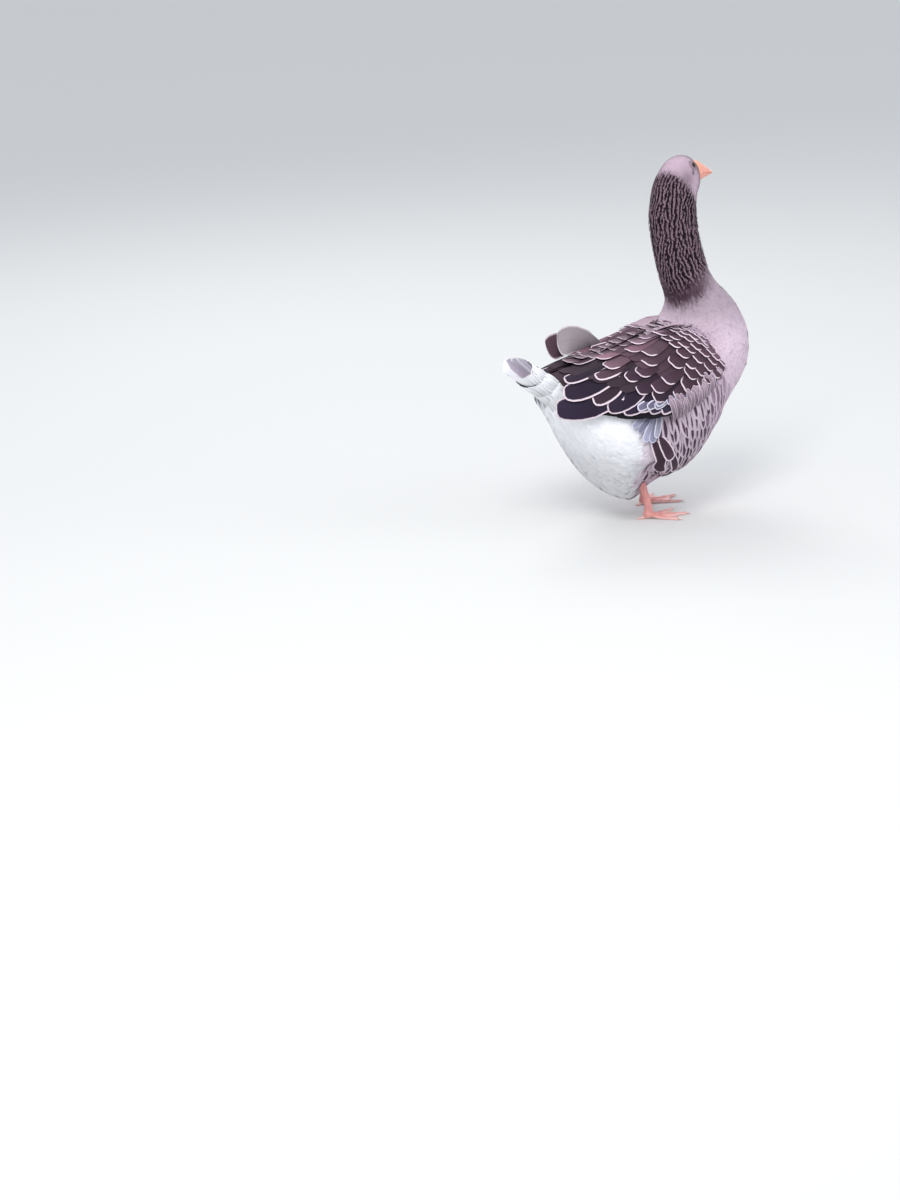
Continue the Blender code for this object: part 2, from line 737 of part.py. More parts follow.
def toe_path(bearing, length, radius, steps):
    """Centres and radii of one toe from ankle to claw, knuckles included."""
    ahead = np.array([math.cos(math.radians(bearing)), math.sin(math.radians(bearing)), 0])
    centres = []
    radii = []
    for i in range(steps * 3 + 1):
        u = i / (steps * 3)
        swell = 1.0 if i % 3 == 0 else 0.84
        r = radius * (1 - TOE_TAPER * u) * swell
        centres.append(ahead * length * u + np.array([0, 0, r * TOE_SINK + 0.010 * (1 - u) ** 6]))
        radii.append(r)
    return centres, radii


def web_outline(side):
    """The web's edge: along the outer toes, with a scallop between each two toes."""
    tips = []
    for name in ("inner", "middle", "outer"):
        bearing, length, knuckles, radius = TOES[name]
        angle = math.radians(side * bearing * -1)
        tips.append(np.array([math.cos(angle), math.sin(angle)]) * length * 0.93)
    outline = [np.zeros(2)]
    for a, b in ((tips[0], tips[1]), (tips[1], tips[2])):
        for u in np.linspace(0, 1, 7)[: 7 if b is tips[2] else 6]:
            straight = a + (b - a) * u
            outline.append(straight * (1 - 0.17 * math.sin(math.pi * u)))
    return outline


def foot(side_name):
    frame, side = foot_frame(side_name)
    outline = web_outline(side)
    count = len(outline)
    vertices = [(*p, 0.0008) for p in outline] + [(*p, 0.0008 + WEB_THICKNESS) for p in outline]
    faces = [tuple(range(count)), tuple(range(count, 2 * count))]
    faces += [(i, (i + 1) % count, (i + 1) % count + count, i + count) for i in range(count)]
    made = mesh_object("foot_" + side_name, vertices, faces)
    pieces = [ball("heel", (0, 0, 0.009), (0.0115, 0.0100, 0.0100), 12, 8)]
    for bearing, length, knuckles, radius in TOES.values():
        centres, radii = toe_path(side * bearing * -1, length, radius, knuckles)
        pieces.append(tube("toe", centres, radii, TOE_SIDES, 0.95))
    bearing, length, radius = HIND_TOE
    centres, radii = toe_path(bearing, length, radius, 2)
    pieces.append(tube("hind toe", centres, radii, TOE_SIDES))
    pieces.append(
        tube("ankle", [(0, 0, 0.008), (0, 0, ANKLE_HEIGHT)], [0.0092, 0.0084], 14)
    )
    join(made, pieces)
    keep_largest(made)
    for vertex in made.data.vertices:
        vertex.co.z = max(vertex.co.z, 0.0)
    made.data.transform(frame)
    return made


def claws(side_name):
    frame, side = foot_frame(side_name)
    made = []
    for name, (bearing, length, knuckles, radius) in TOES.items():
        angle = math.radians(side * bearing * -1)
        ahead = np.array([math.cos(angle), math.sin(angle), 0])
        root = radius * (1 - TOE_TAPER) * 0.74
        centres = []
        radii = []
        for u in (0, 0.35, 0.7, 1.0):
            drop = root * (1 - 0.55 * u * u)
            centres.append(ahead * (length + GAP + CLAW_LENGTH * u) + np.array([0, 0, drop + CLAW_RISE]))
            radii.append(root * (1 - 0.80 * u))
        claw = tube(f"claw_{side_name}_{name}", centres, radii, 6)
        claw.data.transform(frame)
        made.append(claw)
    return made


def leg(side_name, body_room):
    frame, side = foot_frame(side_name)
    centres = [
        (0, 0, ANKLE_HEIGHT + GAP),
        (0, 0, ANKLE_HEIGHT + 0.004),
        (-0.003, 0, ANKLE_HEIGHT + 0.016),
        (-0.009, 0.001 * side, 0.058),
        (-0.016, 0.002 * side, 0.080),
        (HOCK[0], HOCK[1] * side, HOCK[2]),
    ]
    radii = [0.0084, 0.0080, 0.0076, SHANK_RADIUS, 0.0092, 0.0105]
    made = tube("leg_" + side_name, centres, radii, 14)
    made.data.transform(frame)
    cut(made, body_room)
    return keep_largest(made)


def centre_on_origin(nodes):
    """Moves the whole bird so that the middle of its bounding box stands over the origin."""
    corners = np.array([v.co for node in nodes for v in node.data.vertices])
    middle = (corners.min(axis=0) + corners.max(axis=0)) / 2
    shift = Matrix.Translation((-middle[0], -middle[1], -corners[:, 2].min()))
    for node in nodes:
        node.data.transform(shift)


def build():
    for item in list(bpy.data.objects):
        bpy.data.objects.remove(item)
    plumage = material("grey plumage", "8F7F80", 0.85)
    wing_plumage = material("brown wing plumage", "54444A", 0.75)
    white = material("white tail plumage", "E6E4E8", 0.85)
    horn = material("orange bill", "E8764F", 0.40)
    skin = material("orange scaled leg", "D4604A", 0.50)
    claw_horn = material("pale claw horn", "C9A58F", 0.40)
    eye_glass = material("dark eye", "2A1A16", 0.10)

    body_room = torso(CLEAR, "body room")
    midline_room = block("midline room", (-1, -1, 0), (1, 2 * GAP, 1))
    nodes = [finish(torso(), plumage), finish(neck(), plumage), finish(head(), plumage)]
    nodes += [finish(eye, eye_glass) for eye in eyes()]
    nodes += [finish(half, horn) for half in bill()]
    nodes.append(finish(feathered_tail(body_room), white))
    tail_room = tail_hull("tail room", CLEAR)
    rooms = (body_room, midline_room, tail_room)
    nodes.append(finish(wing("wing_left", 1, rooms, WING_SEED), wing_plumage))
    nodes.append(finish(wing("wing_right", -1, rooms, WING_SEED + 1), wing_plumage))
    for side_name in ("left", "right"):
        nodes.append(finish(leg(side_name, body_room), skin))
        nodes.append(finish(foot(side_name), skin))
        nodes += [finish(claw, claw_horn) for claw in claws(side_name)]
    for room in rooms:
        bpy.data.objects.remove(room)
    centre_on_origin(nodes)


build()
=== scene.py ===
# A standing grey goose at life size: skin, plumage, wings, tail, bill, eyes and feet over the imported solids.
# Places are given in the bird's own frame, which at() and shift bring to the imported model's.
import math

import bpy
import numpy as np
from mathutils import Matrix, Vector, kdtree
from mathutils.bvhtree import BVHTree


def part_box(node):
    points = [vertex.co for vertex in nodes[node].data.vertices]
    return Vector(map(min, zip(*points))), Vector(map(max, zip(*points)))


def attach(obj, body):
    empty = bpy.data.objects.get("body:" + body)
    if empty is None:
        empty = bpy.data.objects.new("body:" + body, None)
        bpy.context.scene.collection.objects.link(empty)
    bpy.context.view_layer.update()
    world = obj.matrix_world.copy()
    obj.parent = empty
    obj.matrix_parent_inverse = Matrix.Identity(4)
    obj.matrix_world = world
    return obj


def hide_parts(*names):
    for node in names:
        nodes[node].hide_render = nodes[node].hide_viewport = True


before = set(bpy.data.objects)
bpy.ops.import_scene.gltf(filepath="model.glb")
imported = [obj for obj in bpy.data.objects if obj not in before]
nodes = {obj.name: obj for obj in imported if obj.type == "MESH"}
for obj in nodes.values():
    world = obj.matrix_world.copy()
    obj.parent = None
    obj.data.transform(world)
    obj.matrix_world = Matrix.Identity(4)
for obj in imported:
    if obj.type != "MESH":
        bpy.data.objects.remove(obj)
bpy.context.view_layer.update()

# The bird's own frame: its eyes' middle and its left eye there, and how the head turns to its left
pose = {
    "eyeMiddle": (0.10914, 0.01003, 0.686), "leftEye": (0.111, 0.0255, 0.686),
    "turn": 21.0, "turnAxisX": 0.083, "turnFrom": 0.50, "turnTo": 0.64,
}
eyeSpots = {name: sum(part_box("eye_" + name), Vector()) / 2 for name in ("left", "right")}
shift = np.array((eyeSpots["left"] + eyeSpots["right"]) / 2) - np.array(pose["eyeMiddle"])


# Numbers and places
def smoothStep(value, low, high):
    share = np.clip((np.asarray(value, float) - low) / (high - low), 0, 1)
    return share * share * (3 - 2 * share)


def unit(vectors):
    return vectors / np.maximum(np.linalg.norm(vectors, axis=-1, keepdims=True), 1e-12)


def through(points, t):
    rows = np.asarray(points, float)
    t = np.clip(np.asarray(t, float), 0, len(rows) - 1)
    i = np.minimum(t.astype(int), len(rows) - 2)
    u = (t - i)[..., None]
    before, here, there = rows[np.maximum(i - 1, 0)], rows[i], rows[i + 1]
    after = rows[np.minimum(i + 2, len(rows) - 1)]
    return 0.5 * (
        2 * here
        + (there - before) * u
        + (2 * before - 5 * here + 4 * there - after) * u**2
        + (3 * here - before - 3 * there + after) * u**3
    )


def turned(points):
    points = np.asarray(points, float)
    angle = math.radians(pose["turn"]) * smoothStep(points[..., 2], pose["turnFrom"], pose["turnTo"])
    x = points[..., 0] - pose["turnAxisX"]
    y = points[..., 1]
    return np.stack(
        [
            pose["turnAxisX"] + x * np.cos(angle) - y * np.sin(angle),
            x * np.sin(angle) + y * np.cos(angle), points[..., 2],
        ],
        axis=-1,
    )


def at(x, y, z):
    return Vector(turned([x, y, z]) + shift)


def linear(code):
    channels = [int(code[i : i + 2], 16) / 255 for i in (0, 2, 4)]
    return np.array([c / 12.92 if c <= 0.04045 else ((c + 0.055) / 1.055) ** 2.4 for c in channels])


def mixed(code, otherCode, share):
    return linear(code) * (1 - share) + linear(otherCode) * share


# Materials
def addNode(tree, kind, inputs=None, **settings):
    node = tree.nodes.new(kind)
    for name, value in settings.items():
        setattr(node, name, value)
    for name, value in (inputs or {}).items():
        socket = node.inputs[name]
        if isinstance(value, bpy.types.NodeSocket):
            tree.links.new(value, socket)
        else:
            socket.default_value = value
    return node


def newMaterial(name, **values):
    made = bpy.data.materials.new(name)
    made.use_nodes = True
    shader = made.node_tree.nodes["Principled BSDF"]
    for key, value in values.items():
        shader.inputs[key].default_value = value
    return made, made.node_tree, shader


# How barbs and rims are drawn: the barbs' slant, how ragged they run and their relief, the shaft's half width
# and how far its shade reaches, and where a rim starts to fade
barbDraw = {
    "slant": -0.9, "raggedScale": 260.0, "ragged": 5.0, "relief": 0.0002,
    "shaft": 0.0002, "shaftShade": 0.0007, "rimStart": 0.55,
}
rimUnit = 0.010  # a rim's width is kept in its colour's alpha, as a share of this


def feather(name, look):
    # Keratin barbs: matt, with a faint sheen along the fibres and a pale worn rim
    made, tree, shader = newMaterial(name, **{"Roughness": look["roughness"], "Specular IOR Level": 0.15})
    shader.inputs["Sheen Weight"].default_value = look["sheen"]
    shader.inputs["Sheen Roughness"].default_value = 0.5
    tint = addNode(tree, "ShaderNodeAttribute", attribute_name="tint")
    rim = addNode(tree, "ShaderNodeAttribute", attribute_name="rimTint")
    edge = addNode(tree, "ShaderNodeAttribute", attribute_name="edge")
    vane = addNode(tree, "ShaderNodeUVMap", uv_map="vane")
    spot = addNode(tree, "ShaderNodeSeparateXYZ", {"Vector": vane.outputs["UV"]})
    across = addNode(tree, "ShaderNodeMath", {0: spot.outputs["X"]}, operation="ABSOLUTE")
    # Barbs run out from the shaft and towards the tip; drawn coarser than the real 0.4 mm so that they show
    slant = addNode(
        tree, "ShaderNodeMath", {0: across.outputs[0], 1: barbDraw["slant"], 2: spot.outputs["Y"]},
        operation="MULTIPLY_ADD",
    )
    ragged = addNode(
        tree, "ShaderNodeTexNoise",
        {"Vector": vane.outputs["UV"], "Scale": barbDraw["raggedScale"], "Detail": 2.0},
    )
    phase = addNode(
        tree, "ShaderNodeMath", {0: slant.outputs[0], 1: 2 * math.pi / look["barb"]}, operation="MULTIPLY"
    )
    loose = addNode(
        tree, "ShaderNodeMath", {0: ragged.outputs["Fac"], 1: barbDraw["ragged"], 2: phase.outputs[0]},
        operation="MULTIPLY_ADD",
    )
    barbs = addNode(tree, "ShaderNodeMath", {0: loose.outputs[0]}, operation="SINE")
    shade = addNode(
        tree, "ShaderNodeMapRange",
        {"Value": barbs.outputs[0], "From Min": -1.0, "To Min": 1 - look["barbShade"], "To Max": 1.0},
    )
    shaft = addNode(
        tree, "ShaderNodeMapRange",
        {
            "Value": across.outputs[0], "From Min": barbDraw["shaft"], "From Max": barbDraw["shaftShade"],
            "To Min": look["shaft"], "To Max": 1.0,
        },
    )
    both = addNode(tree, "ShaderNodeMath", {0: shade.outputs[0], 1: shaft.outputs[0]}, operation="MULTIPLY")
    ground = addNode(
        tree, "ShaderNodeVectorMath", {0: tint.outputs["Color"], "Scale": both.outputs[0]},
        operation="SCALE",
    )
    waver = addNode(
        tree, "ShaderNodeMath", {0: ragged.outputs["Fac"], 1: look["waver"], 2: edge.outputs["Fac"]},
        operation="MULTIPLY_ADD",
    )
    inner = addNode(tree, "ShaderNodeMath", {0: rim.outputs["Alpha"], 1: rimUnit}, operation="MULTIPLY")
    outer = addNode(
        tree, "ShaderNodeMath", {0: inner.outputs[0], 1: barbDraw["rimStart"]}, operation="MULTIPLY"
    )
    mask = addNode(
        tree,
        "ShaderNodeMapRange",
        {
            "Value": waver.outputs[0], "From Min": outer.outputs[0], "From Max": inner.outputs[0],
            "To Min": 1.0, "To Max": 0.0,
        },
        interpolation_type="SMOOTHSTEP",
    )
    colour = addNode(
        tree, "ShaderNodeMix", {0: mask.outputs[0], 6: ground.outputs[0], 7: rim.outputs["Color"]},
        data_type="RGBA",
    )
    tree.links.new(colour.outputs[2], shader.inputs["Base Color"])
    bump = addNode(
        tree, "ShaderNodeBump",
        {"Height": barbs.outputs[0], "Strength": look["bump"], "Distance": barbDraw["relief"]},
    )
    tree.links.new(bump.outputs[0], shader.inputs["Normal"])
    return made


def tintedHide(name, roughness, scale, depth):
    # Skin under the feathers takes their markings from its own tint attribute
    made, tree, shader = newMaterial(name, **{"Roughness": roughness, "Specular IOR Level": 0.2})
    tint = addNode(tree, "ShaderNodeAttribute", attribute_name="tint")
    place = addNode(tree, "ShaderNodeTexCoord")
    grain = addNode(
        tree, "ShaderNodeTexNoise", {"Vector": place.outputs["Object"], "Scale": scale, "Detail": 4.0}
    )
    bump = addNode(
        tree, "ShaderNodeBump", {"Height": grain.outputs["Fac"], "Strength": 0.5, "Distance": depth}
    )
    tree.links.new(tint.outputs["Color"], shader.inputs["Base Color"])
    tree.links.new(bump.outputs[0], shader.inputs["Normal"])
    return made


# Meshes
def plainObject(name, points, faces, material):
    mesh = bpy.data.meshes.new(name)
    counts = (
        np.array([len(f) for f in faces]) if isinstance(faces, list)
        else np.full(len(faces), faces.shape[1])
    )
    flat = np.concatenate([np.asarray(f) for f in faces]) if isinstance(faces, list) else faces.reshape(-1)
    mesh.vertices.add(len(points))
    mesh.vertices.foreach_set("co", np.asarray(points, np.float32).reshape(-1))
    mesh.loops.add(len(flat))
    mesh.loops.foreach_set("vertex_index", flat.astype(np.int32))
    mesh.polygons.add(len(counts))
    starts = np.concatenate([[0], np.cumsum(counts)[:-1]])
    mesh.polygons.foreach_set("loop_start", starts.astype(np.int32))
    mesh.update(calc_edges=True)
    mesh.validate()
    mesh.shade_smooth()
    mesh.materials.append(material)
    made = bpy.data.objects.new(name, mesh)
    bpy.context.scene.collection.objects.link(made)
    return made


def paint(made, name, values):
    values = np.asarray(values, np.float32)
    kind = "FLOAT" if values.ndim == 1 else "FLOAT_COLOR"
    layer = made.data.attributes.new(name, kind, "POINT")
    layer.data.foreach_set("value" if values.ndim == 1 else "color", values.reshape(-1))


def paintTint(made, colours):
    paint(made, "tint", np.concatenate([colours, np.ones((len(colours), 1))], axis=1))


def paintMap(made, name, perPoint):
    layer = made.data.uv_layers.new(name=name)
    corners = np.empty(len(made.data.loops), np.int32)
    made.data.loops.foreach_get("vertex_index", corners)
    layer.data.foreach_set("uv", np.asarray(perPoint, np.float32)[corners].reshape(-1))


def readMesh(made):
    points = np.empty(len(made.data.vertices) * 3, np.float32)
    made.data.vertices.foreach_get("co", points)
    normals = np.empty(len(made.data.vertices) * 3, np.float32)
    made.data.vertices.foreach_get("normal", normals)
    made.data.calc_loop_triangles()
    faces = np.empty(len(made.data.loop_triangles) * 3, np.int32)
    made.data.loop_triangles.foreach_get("vertices", faces)
    return points.reshape(-1, 3).astype(float), normals.reshape(-1, 3).astype(float), faces.reshape(-1, 3)


def treeOf(points, faces):
    return BVHTree.FromPolygons([tuple(p) for p in points], [tuple(f) for f in faces])


def gridRim(rows, columns):
    # Places of a grid's outermost points, once round
    rim = [(0, j) for j in range(columns)] + [(i, columns - 1) for i in range(1, rows)]
    rim += [(rows - 1, j) for j in range(columns - 2, -1, -1)] + [(i, 0) for i in range(rows - 2, 0, -1)]
    return np.array([i * columns + j for i, j in rim])


def writePoints(made, points):
    made.data.vertices.foreach_set("co", np.asarray(points, np.float32).reshape(-1))
    made.data.update()


def pickOnly(*objects):
    bpy.ops.object.select_all(action="DESELECT")
    for item in objects:
        item.select_set(True)
    bpy.context.view_layer.objects.active = objects[-1]


def copyOf(name, *sources):
    twins = []
    for source in sources:
        twin = nodes[source].copy()
        twin.data = nodes[source].data.copy()
        twin.parent = None
        for key in list(twin.keys()):
            del twin[key]
        bpy.context.scene.collection.objects.link(twin)
        twins.append(twin)
    pickOnly(*twins)
    if len(twins) > 1:
        bpy.ops.object.join()
    made = bpy.context.view_layer.objects.active
    made.name = made.data.name = name
    bpy.ops.object.mode_set(mode="EDIT")
    bpy.ops.mesh.select_all(action="SELECT")
    bpy.ops.mesh.remove_doubles(threshold=0.00002)
    bpy.ops.object.mode_set(mode="OBJECT")
    return made


def applied(made, kind, **settings):
    pickOnly(made)
    modifier = made.modifiers.new(kind.lower(), kind)
    for key, value in settings.items():
        setattr(modifier, key, value)
    bpy.ops.object.modifier_apply(modifier=modifier.name)
    return made


def smoothed(made, voxel, rounds, factor=0.5):
    applied(made, "REMESH", mode="VOXEL", voxel_size=voxel, use_smooth_shade=True)
    return applied(made, "SMOOTH", iterations=rounds, factor=factor)


def dress(made, material, slot, *replaced):
    made.data.materials.clear()
    made.data.materials.append(material)
    made.data.shade_smooth()
    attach(made, "root")
    if replaced:
        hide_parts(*replaced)
    return made


# Middle line of the body from tail to bill: x, z
bodyLine = {
    "tailRoot": (-0.232, 0.270), "vent": (-0.199, 0.2485), "rump": (-0.1605, 0.2235),
    "loin": (-0.1165, 0.2025), "paunch": (-0.070, 0.191), "hip": (-0.0275, 0.1915),
    "saddle": (0.0145, 0.2015), "keel": (0.055, 0.222), "shoulder": (0.0895, 0.2565),
    "breast": (0.122, 0.296), "upperBreast": (0.152, 0.333), "crop": (0.1605, 0.3785),
    "neckRoot": (0.141, 0.4275), "lowNeck": (0.1055, 0.480), "midNeck": (0.087, 0.5405),
    "highNeck": (0.079, 0.591), "nape": (0.0835, 0.627), "occiput": (0.096, 0.649),
    "hindCrown": (0.109, 0.6605), "crown": (0.1225, 0.666), "brow": (0.1335, 0.669),
    "lores": (0.140, 0.6705), "billRoot": (0.144, 0.6705),
}
lineNames = list(bodyLine)
lineSteps = np.linspace(0, len(bodyLine) - 1, 133)
linePoints = through([(x, 0.0, z) for x, z in bodyLine.values()], lineSteps)
lineSides = unit(turned(linePoints + np.array([0, 0.001, 0])) - turned(linePoints))
linePoints = turned(linePoints)
lineAhead = unit(np.gradient(linePoints, axis=0))
lineUps = unit(np.cross(lineAhead, lineSides))
lineLength = np.concatenate([[0], np.cumsum(np.linalg.norm(np.diff(linePoints, axis=0), axis=1))])
linePoints = linePoints + shift

lineFit = {"atOnce": 6000, "soft": 0.010}  # points worked out at a time, and the reach of the line's pull


def bodyPlace(points):
    # How far along the body each point is, its angle from the back to the left, the way that feathers lie
    # there, the way round the body, and how far out it is
    t, angle, lie, around, radius = [], [], [], [], []
    for part in np.array_split(points, max(1, len(points) // lineFit["atOnce"])):
        gap = np.linalg.norm(part[:, None] - linePoints[None], axis=2)
        weight = np.exp(-(gap - gap.min(axis=1, keepdims=True)) / lineFit["soft"])
        weight /= weight.sum(axis=1, keepdims=True)
        out = part - weight @ linePoints
        aside, above = (out * (weight @ lineSides)).sum(1), (out * (weight @ lineUps)).sum(1)
        turn = np.arctan2(aside, above)
        t.append(weight @ lineSteps)
        angle.append(turn)
        lie.append(-(weight @ lineAhead))
        around.append(
            (weight @ lineSides) * np.cos(turn)[:, None] - (weight @ lineUps) * np.sin(turn)[:, None]
        )
        radius.append(np.hypot(aside, above))
    return (
        np.concatenate(t), np.concatenate(angle), unit(np.concatenate(lie)), unit(np.concatenate(around)),
        np.concatenate(radius),
    )


# Tracts of the plumage. Sizes in metres; rise is how far tips stand off the skin, in shares of the room under
# the solids
tracts = {
    "head": {
        "tint": "C6AEBE", "root": "C0A8B8", "rim": "C6AEBE", "rimWidth": 0.0, "length": 0.0062,
        "width": 0.0020, "spacing": 0.0015, "rise": 0.60,
    },
    "neck": {
        "tint": "927987", "root": "1F141B", "rim": "B59CAA", "rimWidth": 0.0, "length": 0.0085,
        "width": 0.0027, "spacing": 0.0018, "rise": 0.8,
    },
    "base": {
        "tint": "4E3745", "root": "3E2A36", "rim": "5A4450", "rimWidth": 0.0002, "length": 0.0140,
        "width": 0.0050, "spacing": 0.0034, "rise": 0.6,
    },
    "breast": {
        "tint": "C7B4C2", "root": "B8A4B2", "rim": "CCB9C7", "rimWidth": 0.0004, "length": 0.0165,
        "width": 0.0078, "spacing": 0.0040, "rise": 0.28,
    },
    "mantle": {
        "tint": "AC94A2", "root": "78606F", "rim": "B39AA8", "rimWidth": 0.0010, "length": 0.0260,
        "width": 0.0150, "spacing": 0.0066, "rise": 0.7,
    },
    "flank": {
        "tint": "B8A2B3", "root": "D0BDCB", "rim": "BFA9BA", "rimWidth": 0.0010, "length": 0.0240,
        "width": 0.0110, "spacing": 0.0060, "rise": 0.5,
    },
    "belly": {
        "tint": "F3F3F7", "root": "ECECF2", "rim": "F6F6F9", "rimWidth": 0.0004, "length": 0.0270,
        "width": 0.0100, "spacing": 0.0048, "rise": 0.40,
    },
}

# Where the tracts meet, in the bird's own frame
borders = {
    "headSlope": 1.60, "headFrom": (0.062, 0.678), "headBlend": 0.020, "neckBack": 0.417, "neckFront": 0.495,
    "neckStart": 0.008, "furrowFade": 0.046, "baseFade": (-0.012, 0.014), "sidesToBack": (-0.6, 0.6),
    "backFrom": (0.10, 0.70), "mantleEnd": (10.2, 11.8), "rumpFrom": (-0.222, -0.200),
    "whiteTop": (0.070, 0.100), "whiteFront": (-0.035, -0.010), "whiteFrom": (-0.076, -0.058),
    "flankFront": (0.09, 0.16), "flankTop": (0.30, 0.36),
}


def headSide(points):
    # Along and up in the head's own, unturned direction
    x, y, z = (points - shift).T
    angle = math.radians(pose["turn"])
    along = (x - pose["turnAxisX"]) * math.cos(angle) + y * math.sin(angle) + pose["turnAxisX"]
    return z + borders["headSlope"] * (along - borders["headFrom"][0]) - borders["headFrom"][1]


def neckSide(points, angle):
    front = (1 - np.cos(angle)) / 2
    return points[:, 2] - borders["neckBack"] - (borders["neckFront"] - borders["neckBack"]) * front


def tractShares(points, t, angle):
    x, y, z = (points - shift).T
    back = smoothStep(np.cos(angle), *borders["backFrom"])
    left = np.ones(len(points))
    shares = {}

    def take(name, share):
        shares[name] = left * share
        left[:] = left * (1 - share)

    take("head", smoothStep(headSide(points), -borders["headBlend"], borders["headBlend"]))
    above = neckSide(points, angle)
    plain = smoothStep(np.cos(angle), *borders["sidesToBack"])
    take("neck", smoothStep(above, borders["neckStart"], borders["furrowFade"] * (0.5 + 0.5 * plain)))
    take("base", smoothStep(above, *borders["baseFade"]) * (0.45 + 0.55 * plain))
    low = (1 - smoothStep(z, *borders["whiteTop"])) * (1 - smoothStep(x, *borders["whiteFront"]))
    hind = 1 - smoothStep(x, *borders["whiteFrom"])
    rump = back * smoothStep(x, *borders["rumpFrom"])
    take("belly", np.maximum(low, hind * (1 - rump)))
    ahead, above = smoothStep(x, *borders["flankFront"]), smoothStep(z, *borders["flankTop"])
    take("flank", (1 - back) * (1 - ahead) * (1 - above))
    take("mantle", back * (1 - smoothStep(t, *borders["mantleEnd"])))
    take("breast", np.ones(len(points)))
    return shares


def blendOf(shares, key):
    if isinstance(tracts["head"][key], str):
        return sum(shares[name][:, None] * linear(look[key]) for name, look in tracts.items())
    return sum(shares[name] * look[key] for name, look in tracts.items())


# Ridges of the neck: waves round it that run into each other, so that ridges fork and end as in a fingerprint
furrows = {
    "round": 38, "roundSpread": 6, "alongSpread": 330.0, "waves": 9, "seed": 7, "lift": 0.0026,
    "seenAt": 0.75, "groove": -0.15, "ridge": 0.60,
}


def furrowPhase(t, angle):
    # Phase of the ridges, 0 at a crest, and how fast it runs round and along the neck
    random = np.random.default_rng(furrows["seed"])
    count = furrows["waves"]
    rounds = furrows["round"] + random.integers(-furrows["roundSpread"], furrows["roundSpread"] + 1, count)
    alongs = random.uniform(-1, 1, count) * furrows["alongSpread"]
    starts = random.uniform(0, 2 * math.pi, count)
    length = np.interp(t, lineSteps, lineLength)
    waves = np.exp(1j * (angle[:, None] * rounds + length[:, None] * alongs + starts))
    total = waves.sum(1)
    strength = np.maximum(np.abs(total) ** 2, 0.3)
    roundRate = (np.conj(total) * (waves * 1j * rounds).sum(1)).imag / strength
    alongRate = (np.conj(total) * (waves * 1j * alongs).sum(1)).imag / strength
    return np.angle(total), np.maximum(roundRate, 12.0), alongRate


# Skin: head, neck and body as one surface, under the plumage by its depth
skinShape = {
    "voxel": 0.0034, "rounds": 10, "headDepth": 0.0009, "neckDepth": 0.0025, "bodyDepth": 0.0028,
    "headFrom": (15.8, 16.6), "neckFrom": (12.0, 13.0), "shade": 0.85,
}
# Flesh that the tail grows from
stumpShape = {"place": (-0.234, 0, 0.286), "scale": (0.028, 0.034, 0.017), "tilt": 38}
skin = copyOf("skin", "torso", "neck", "head")
hullPoints, _, hullFaces = readMesh(skin)
hullTree = treeOf(hullPoints, hullFaces)
bpy.ops.mesh.primitive_uv_sphere_add(segments=24, ring_count=16, radius=1, location=at(*stumpShape["place"]))
stump = bpy.context.object
stump.scale = stumpShape["scale"]
stump.rotation_euler = (0, math.radians(stumpShape["tilt"]), 0)
pickOnly(stump, skin)
bpy.ops.object.join()
smoothed(skin, skinShape["voxel"], skinShape["rounds"])
skinPoints, skinNormals, skinFaces = readMesh(skin)
skinT, skinAngle = bodyPlace(skinPoints)[:2]
headShare = smoothStep(skinT, *skinShape["headFrom"])
neckShare = smoothStep(skinT, *skinShape["neckFrom"])
skinDepth = skinShape["bodyDepth"] + (skinShape["neckDepth"] - skinShape["bodyDepth"]) * neckShare
skinDepth = skinDepth + (skinShape["headDepth"] - skinDepth) * headShare
skinPoints = skinPoints - skinNormals * skinDepth[:, None]
writePoints(skin, skinPoints)
skinShares = tractShares(skinPoints, skinT, skinAngle)
skinTint = blendOf(skinShares, "root") * skinShape["shade"]
paintTint(skin, skinTint)
dress(skin, tintedHide("downy skin", 0.95, 900.0, 0.0006), "grey_plumage", "torso", "neck", "head")
skinTree = treeOf(skinPoints, skinFaces)
print("skin", len(skinFaces), "triangles")


def onSkin(points):
    places, normals, rooms = [], [], []
    for point in points:
        place, normal = skinTree.find_nearest(Vector(point))[:2]
        places.append(place)
        normals.append(normal)
        rooms.append(hullTree.find_nearest(place)[3])
    return np.array(places), np.array(normals), np.array(rooms)


wingReach = 0.05  # a root with a wing this near above it is covered
wingTree = {}
for side in ("left", "right"):
    wingPoints, _, wingFaces = readMesh(nodes["wing_" + side])
    wingTree[side] = treeOf(wingPoints, wingFaces)


def underWing(points, normals):
    covered = np.zeros(len(points), bool)
    for i, (point, normal) in enumerate(zip(points, normals)):
        tree = wingTree["left" if point[1] > shift[1] else "right"]
        hit = tree.ray_cast(Vector(point), Vector(normal), wingReach)[0]
        covered[i] = hit is not None
    return covered


# Roots of small feathers, spread evenly over the skin at each tract's own spacing
rootsTried = 4.5  # places tried for each root that may be kept


